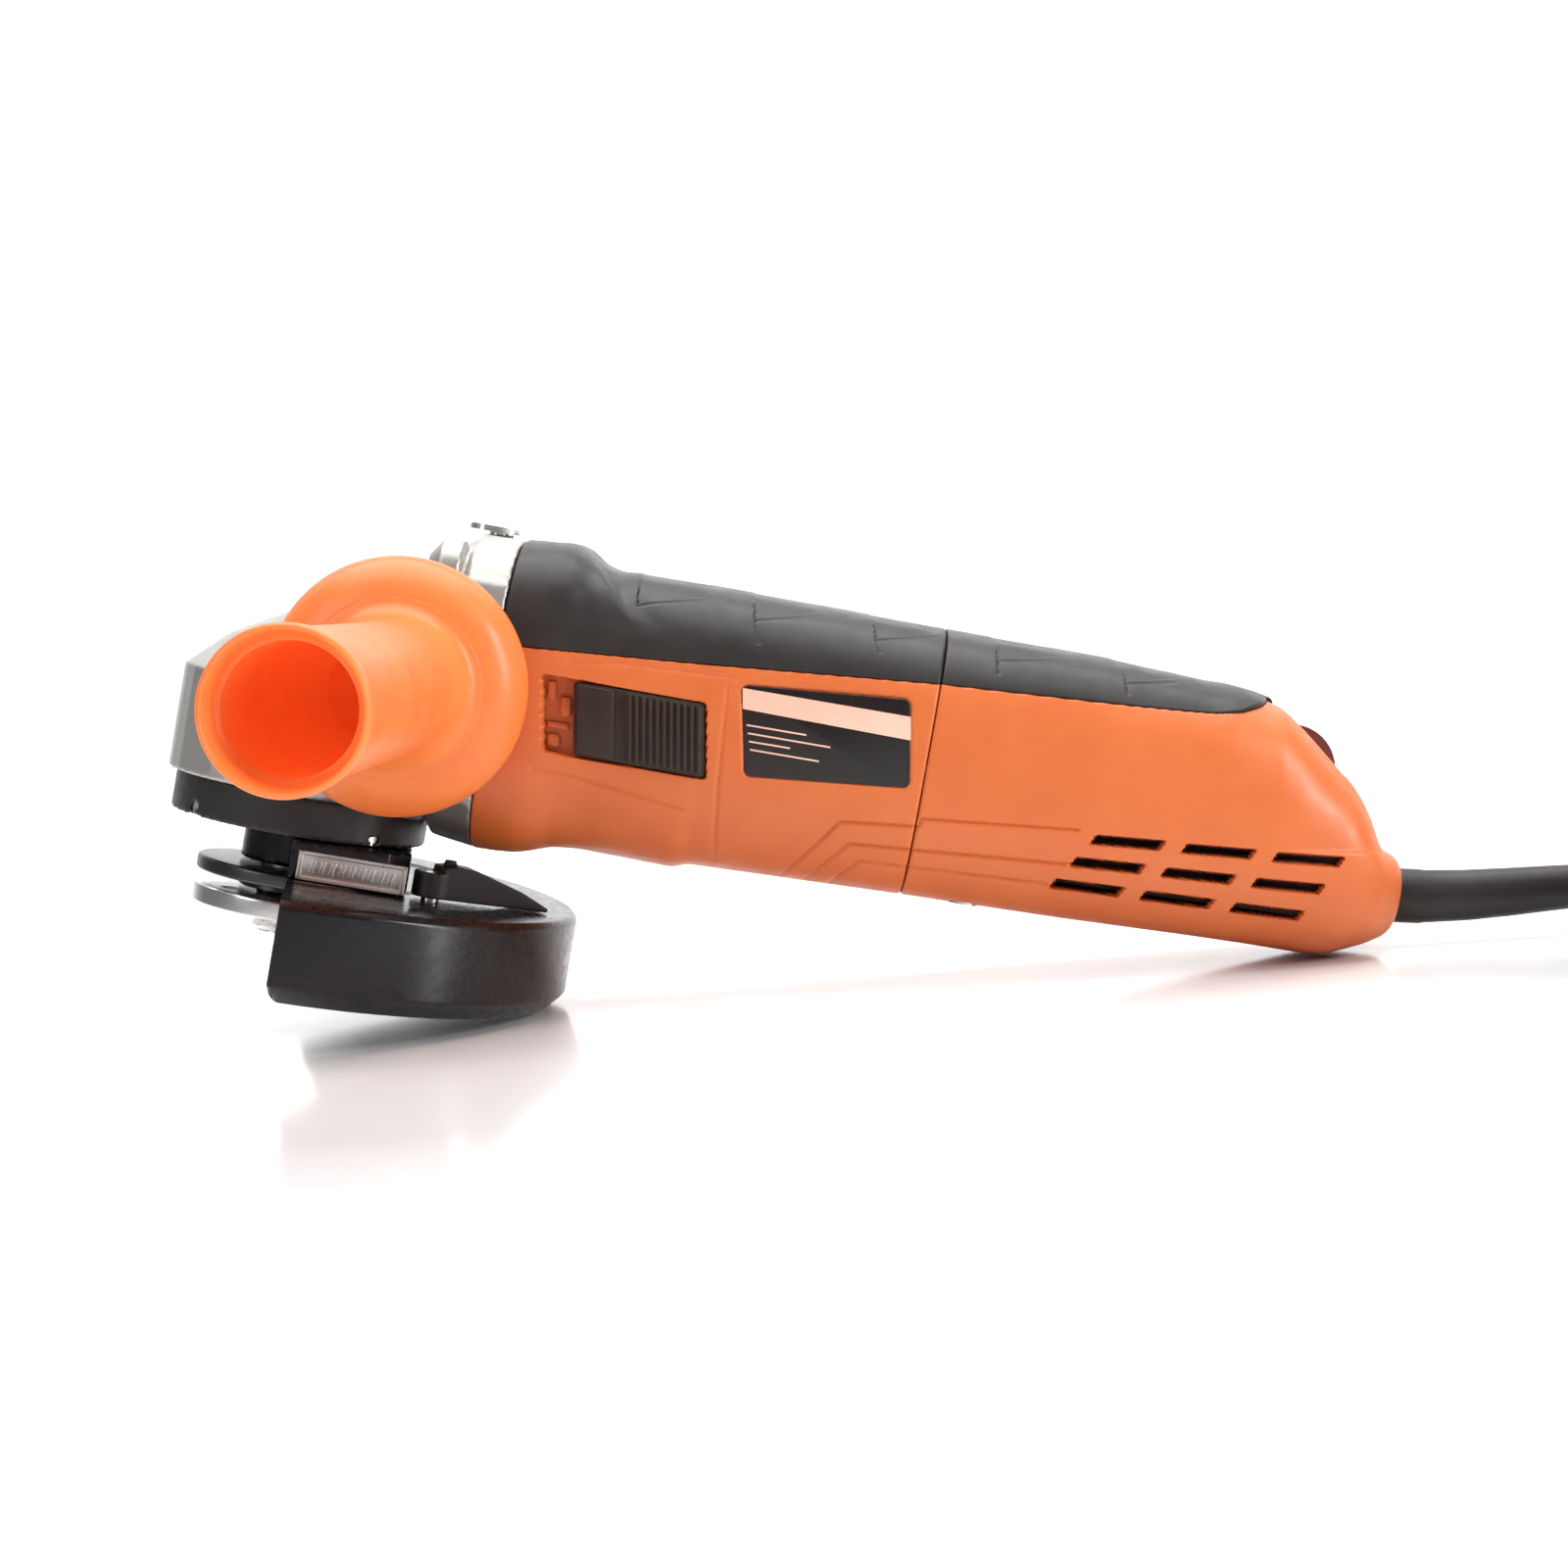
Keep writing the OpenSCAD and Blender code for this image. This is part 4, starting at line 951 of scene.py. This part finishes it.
VOXEL = 0.55
LEVER_VOXEL = 0.3
for name, node, voxel, passes, slot, body in (
        ("gear_casting", "gear_head", VOXEL, 4, "cast_aluminium", "root"),
        ("bearing_housing", "bearing_cover", VOXEL, 2, "black_cast", "root"),
        ("guard_clamp", "guard_collar", VOXEL, 2, "guard_black", "guard"),
        ("lever", "clamp_lever", LEVER_VOXEL, 3, "moulded_black", "lever")):
    adopt(name, softened(node_mesh(node), voxel, passes), slot, body, (node,), 180)


def flange(low, top, r, bore, chamfer=0.6):
    return rounded([(bore, low), (r - 0.2, low), (r, low + 0.4), (r, top - 0.5), (r - 0.5, top), (bore, top)],
                   chamfer, steps=4)


FLANGE_R, BORE_R = 21, 7.05
INNER_TOP, INNER_BOTTOM = -46.8, -50
NUT_TOP, NUT_BOTTOM = -52.9, -57.3
PILOT_R, PILOT_TOP, PILOT_BOTTOM = 11.1, -49.9, -52.3
NUT_HOLE_R, NUT_HOLES_AT = 2.5, 15

pilot = [(BORE_R, PILOT_BOTTOM), (PILOT_R, PILOT_BOTTOM), (PILOT_R, PILOT_TOP), (BORE_R, PILOT_TOP)]
piece("flange_inner", [turned(flange(INNER_BOTTOM, INNER_TOP, FLANGE_R, BORE_R), 128, closed=True),
                       turned(rounded(pilot, 0.25), 96, closed=True)],
      "dark_steel", "spindle_unit", ("inner_flange",))


def spanner_hole(degrees):
    a = math.radians(degrees)
    pin = turned([(0, -59), (NUT_HOLE_R, -59), (NUT_HOLE_R, -51), (0, -51)], 32)
    return [moved(pin, at(NUT_HOLES_AT * math.cos(a), NUT_HOLES_AT * math.sin(a), 0))]


nut = scratch([turned(flange(NUT_BOTTOM, NUT_TOP, FLANGE_R, BORE_R), 128, closed=True)])
nut_mesh = cut(nut, [spanner_hole(a) for a in (45, 135, 225, 315)])
adopt("flange_outer", nut_mesh, "bright_steel", "spindle_unit", ("flange_nut",), 30)

THREAD_PITCH = 2.0


def thread(low, high, r, depth=0.8, n=48):
    """A helical thread, as rings whose phase follows the angle."""
    points = []
    rows = int((high - low) / THREAD_PITCH * 10)
    for i in range(rows + 1):
        for k in range(n):
            z = low + (high - low) * i / rows
            phase = (z / THREAD_PITCH - k / n) % 1.0
            fade = min(1.0, (z - low) / 1.2 + 0.2)
            rr = r - depth * (1 - abs(2 * phase - 1)) - 0.8 * (1 - fade)
            t = 2 * math.pi * k / n
            points.append((rr * math.cos(t), rr * math.sin(t), z))
    return points, tube_faces(rows + 1, n) + [tuple(range(n))]


SHAFT_LINE = [(0, -49.2), (7, -49.2), (7, -35.2), (6, -35.05), (6, -4.6), (4, -4.5), (4, 9.6), (3.6, 10),
              (0, 10)]
piece("spindle_shaft", [thread(-62, -49, 7), turned(SHAFT_LINE, 64)],
      "bright_steel", "spindle_unit", ("spindle",), TOOL, 25)

# ---------------- lock spring

SPRING_LOW, SPRING_HIGH, SPRING_R, SPRING_WIRE, SPRING_TURNS = 24.5, 34.9, 3.0, 0.4, 6
LOCK_X, LOCK_TRAVEL = 33.8, 4.5


def coil_spring(per_turn=28, around=8):
    points = []
    steps = SPRING_TURNS * per_turn
    for i in range(steps + 1):
        a = 2 * math.pi * i / per_turn
        z = SPRING_LOW + (SPRING_HIGH - SPRING_LOW) * i / steps
        for k in range(around):
            b = 2 * math.pi * k / around
            r = SPRING_R + SPRING_WIRE * math.cos(b)
            points.append((LOCK_X + r * math.cos(a), r * math.sin(a), z + SPRING_WIRE * math.sin(b)))
    ends = [tuple(range(around)), tuple(range(steps * around, (steps + 1) * around))]
    return points, tube_faces(steps + 1, around) + ends


spring = piece("lock_coil_spring", [coil_spring()], "spring_steel", "root", ("lock_spring",))
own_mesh(spring)

# ---------------- slider and name plate

SLANT = 0.17  # everything on the slider leans: x grows by this much for each mm down


def leaning(x0, x1, z0, z1, y_low, y_high, corner=0.4, edge=0.25):
    outline = [(x0 - SLANT * z0, z0), (x1 - SLANT * z0, z0), (x1 - SLANT * z1, z1), (x0 - SLANT * z1, z1)]
    return side_slab(rounded(outline, corner, steps=4), y_low, y_high, edge)


# the slider's plate, its smooth pad, its ribbed pad and the ribs
RIB_COUNT, RIB_STEP = 11, 1.5
slider = [leaning(59.6, 87.9, -8.8, 6.8, 31.3, 33.1, 0.8),
          leaning(60.1, 68.4, -8.4, 6.4, 32.6, 33.85, 0.7, 0.4),
          leaning(70.7, 87.5, -8.4, 6.4, 32.8, 33.5, 0.7, 0.3)]
slider += [leaning(71.4 + RIB_STEP * i, 72.3 + RIB_STEP * i, -8.1, 6.1, 33.2, 34.25, 0.35, 0.3)
           for i in range(RIB_COUNT)]
piece("slider", slider, "moulded_black", "switch_slide", ("switch_slider",), TOOL, 40, SLIDER_BROWN)
# plain blocks on the window's floor, low enough for the slider to pass over them
relief = [leaning(53.8, 55.6, 2.0, 6.0, 29.5, 31.0, 0.5, 0.4),
          leaning(56.4, 58.9, -1.2, 3.2, 29.5, 31.1, 0.9, 0.5),
          leaning(53.6, 58.4, -4.0, -2.6, 29.5, 30.9, 0.4, 0.4),
          leaning(53.6, 56.4, -8.0, -5.2, 29.5, 31.1, 0.8, 0.5)]
piece("window_relief", relief, "orange_shell", "root")

plate_line = rounded(PLATE, 1.4, steps=6)
piece("plate", [side_slab(plate_line, 32.0, 32.72, 0.12)], "plate_print", "root", ("name_plate",))
band_line = rounded([(94.4, 11.7), (131, 11.9), (131.9, 6.9), (95.2, 7.3)], 0.25, steps=3)
RULES = ((4.2, 13), (2.5, 18), (0.8, 9), (-0.9, 15))  # height and length of each plain rule, from the top


def rule(k, z, length):
    x = 96.6 + 0.55 * k
    end = x + length
    return side_slab([(x, z), (end, z + 0.1), (end, z - 0.25), (x, z - 0.35)], 32.3, 32.74, 0.01)


rules = [rule(k, z, length) for k, (z, length) in enumerate(RULES)]
piece("plate_band", [side_slab(band_line, 32.3, 32.75, 0.02)] + rules, "plate_print", "root",
      material=PALE_BAND)

# dark panels behind the air slots: painted shade, dark sheets that stand in for the shaded inside of the tail
SHADE_PANEL_LINE = [(166, -4), (230.5, -1), (230.5, -9), (222, -16.5), (164, -18.5)]
SHADE_PANEL_OUT, SHADE_PANEL_IN = 23.0, 22.2
for sign, name in ((-1, "shade_panel_near"), (1, "shade_panel_far")):
    panel = [(x, sign * y, z) for y in (SHADE_PANEL_OUT, SHADE_PANEL_IN) for x, z in SHADE_PANEL_LINE]
    n = len(SHADE_PANEL_LINE)
    faces = [tuple(range(n)), tuple(range(n, 2 * n))] + tube_faces(2, n)
    piece(name, [(panel, faces)], "moulded_black", "root", material=VENT_SHADE_BROWN)

# ---------------- lead

LEAD_D = 7.5
EXIT = Vector((136.2, 58.0, 10.9))
LEAD_RUN = [(176, 58, 10.8), (181, 58, 10.7), (187, 58, 10), (193, 58, 8.6), (199, 58, 6.8),
            (205, 58, 5.2), (211, 58, 4.4), (217, 58, 4.2)]
LEAD_TAIL = [(263, 3, 19.2), (263, -5, 19.1), (263, -13, 18.6), (263, -21, 17.4), (263, -29, 15.6),
             (263, -37, 13.9), (263, -45, 12.7), (263, -51, 12.2), (263, -56, 12)]
COIL_X, COIL_Y = 222.0, 9.5
LAYERS = (4.2, 11.75, 19.3)
TURN_R = (48.5, 41, 33.5)
# the coil's turns, each (turns so far, which radius, layer), wound outside in, inside out, then outside in
WINDING = [(0, 0, 0), (0.75, 0, 0), (1, 1, 0), (1.75, 1, 0), (2, 2, 0), (2.5, 2, 0), (2.75, 2, 1),
           (3.25, 2, 1), (3.5, 1, 1), (4.25, 1, 1), (4.5, 0, 1), (5.0, 0, 1), (5.25, 0, 2), (6.25, 0, 2),
           (6.5, 1, 2), (7.25, 1, 2)]


def coil_points(per_turn=48):
    out = []
    total = WINDING[-1][0]
    for i in range(int(total * per_turn) + 1):
        s = i / per_turn
        for (s0, r0, l0), (s1, r1, l1) in zip(WINDING, WINDING[1:]):
            if s0 <= s <= s1:
                t = (s - s0) / (s1 - s0)
                t = t * t * (3 - 2 * t)
                r = TURN_R[r0] + (TURN_R[r1] - TURN_R[r0]) * t
                z = LAYERS[l0] + (LAYERS[l1] - LAYERS[l0]) * t
        a = math.radians(90 - 360 * s)
        out.append((COIL_X + r * math.cos(a), COIL_Y + r * math.sin(a), z))
    return out


EXIT_Z = -10.2
# the sleeve as (share of its length, radius)
SLEEVE_LINE = [(0.0, 6.1), (0.1, 6.1), (0.2, 6.15), (0.28, 6.15), (0.31, 5.95), (0.5, 5.75), (0.7, 5.45),
               (0.9, 5.1), (0.97, 5.0), (0.995, 4.85), (1.0, 4.5), (1.0, 3.8)]


def sleeve(n=48):
    """The bend-protection sleeve, tapered and easing from the tail's slope down to the table."""
    start, low = TOOL @ Vector((238.0, 0, EXIT_Z)), Vector(LEAD_RUN[0]) * MM
    away = (TOOL @ Vector((248.0, 0, EXIT_Z)) - start).normalized()
    end_dir, span = Vector((1, 0, 0)), (low - start).length
    across = Vector((0, 1, 0))

    def blend(w):
        return w[0] * start + w[1] * span * away + w[2] * low + w[3] * span * end_dir

    points = []
    for t, r in SLEEVE_LINE:
        centre = blend((2 * t ** 3 - 3 * t ** 2 + 1, t ** 3 - 2 * t ** 2 + t,
                        -2 * t ** 3 + 3 * t ** 2, t ** 3 - t ** 2))
        tangent = blend((6 * t * t - 6 * t, 3 * t * t - 4 * t + 1, -6 * t * t + 6 * t, 3 * t * t - 2 * t))
        side = tangent.normalized().cross(across).normalized()
        for k in range(n):
            a = 2 * math.pi * k / n
            points.append(tuple((centre + r * MM * (side * math.cos(a) + across * math.sin(a))) / MM))
    return points, tube_faces(len(SLEEVE_LINE), n) + [tuple(range(n))]


sleeve_piece = piece("sleeve", [sleeve()], "moulded_black", "root", ("strain_relief",), TABLE, 40)
lead_line = [tuple(EXIT), (156, 58, 10.85)] + LEAD_RUN + coil_points() + LEAD_TAIL


def lead_curve(name, points):
    data = bpy.data.curves.new(name, "CURVE")
    data.dimensions = "3D"
    data.bevel_depth = LEAD_D / 2 * MM
    data.bevel_resolution = 5
    data.use_fill_caps = True
    spline = data.splines.new("POLY")
    spline.points.add(len(points) - 1)
    for p, target in zip(points, spline.points):
        target.co = (p[0] * MM, p[1] * MM, p[2] * MM, 1.0)
    data.materials.append(MATS["lead_sheath"])
    return shown(name, data)


plug = adopt("plug", softened(node_mesh("plug_body"), VOXEL, 3), "moulded_black", "root", ("plug_body",), 180)
lead = lead_curve("mains_lead", lead_line)
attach(lead, "root")
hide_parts("lead_run", "lead_coil", "lead_tail")
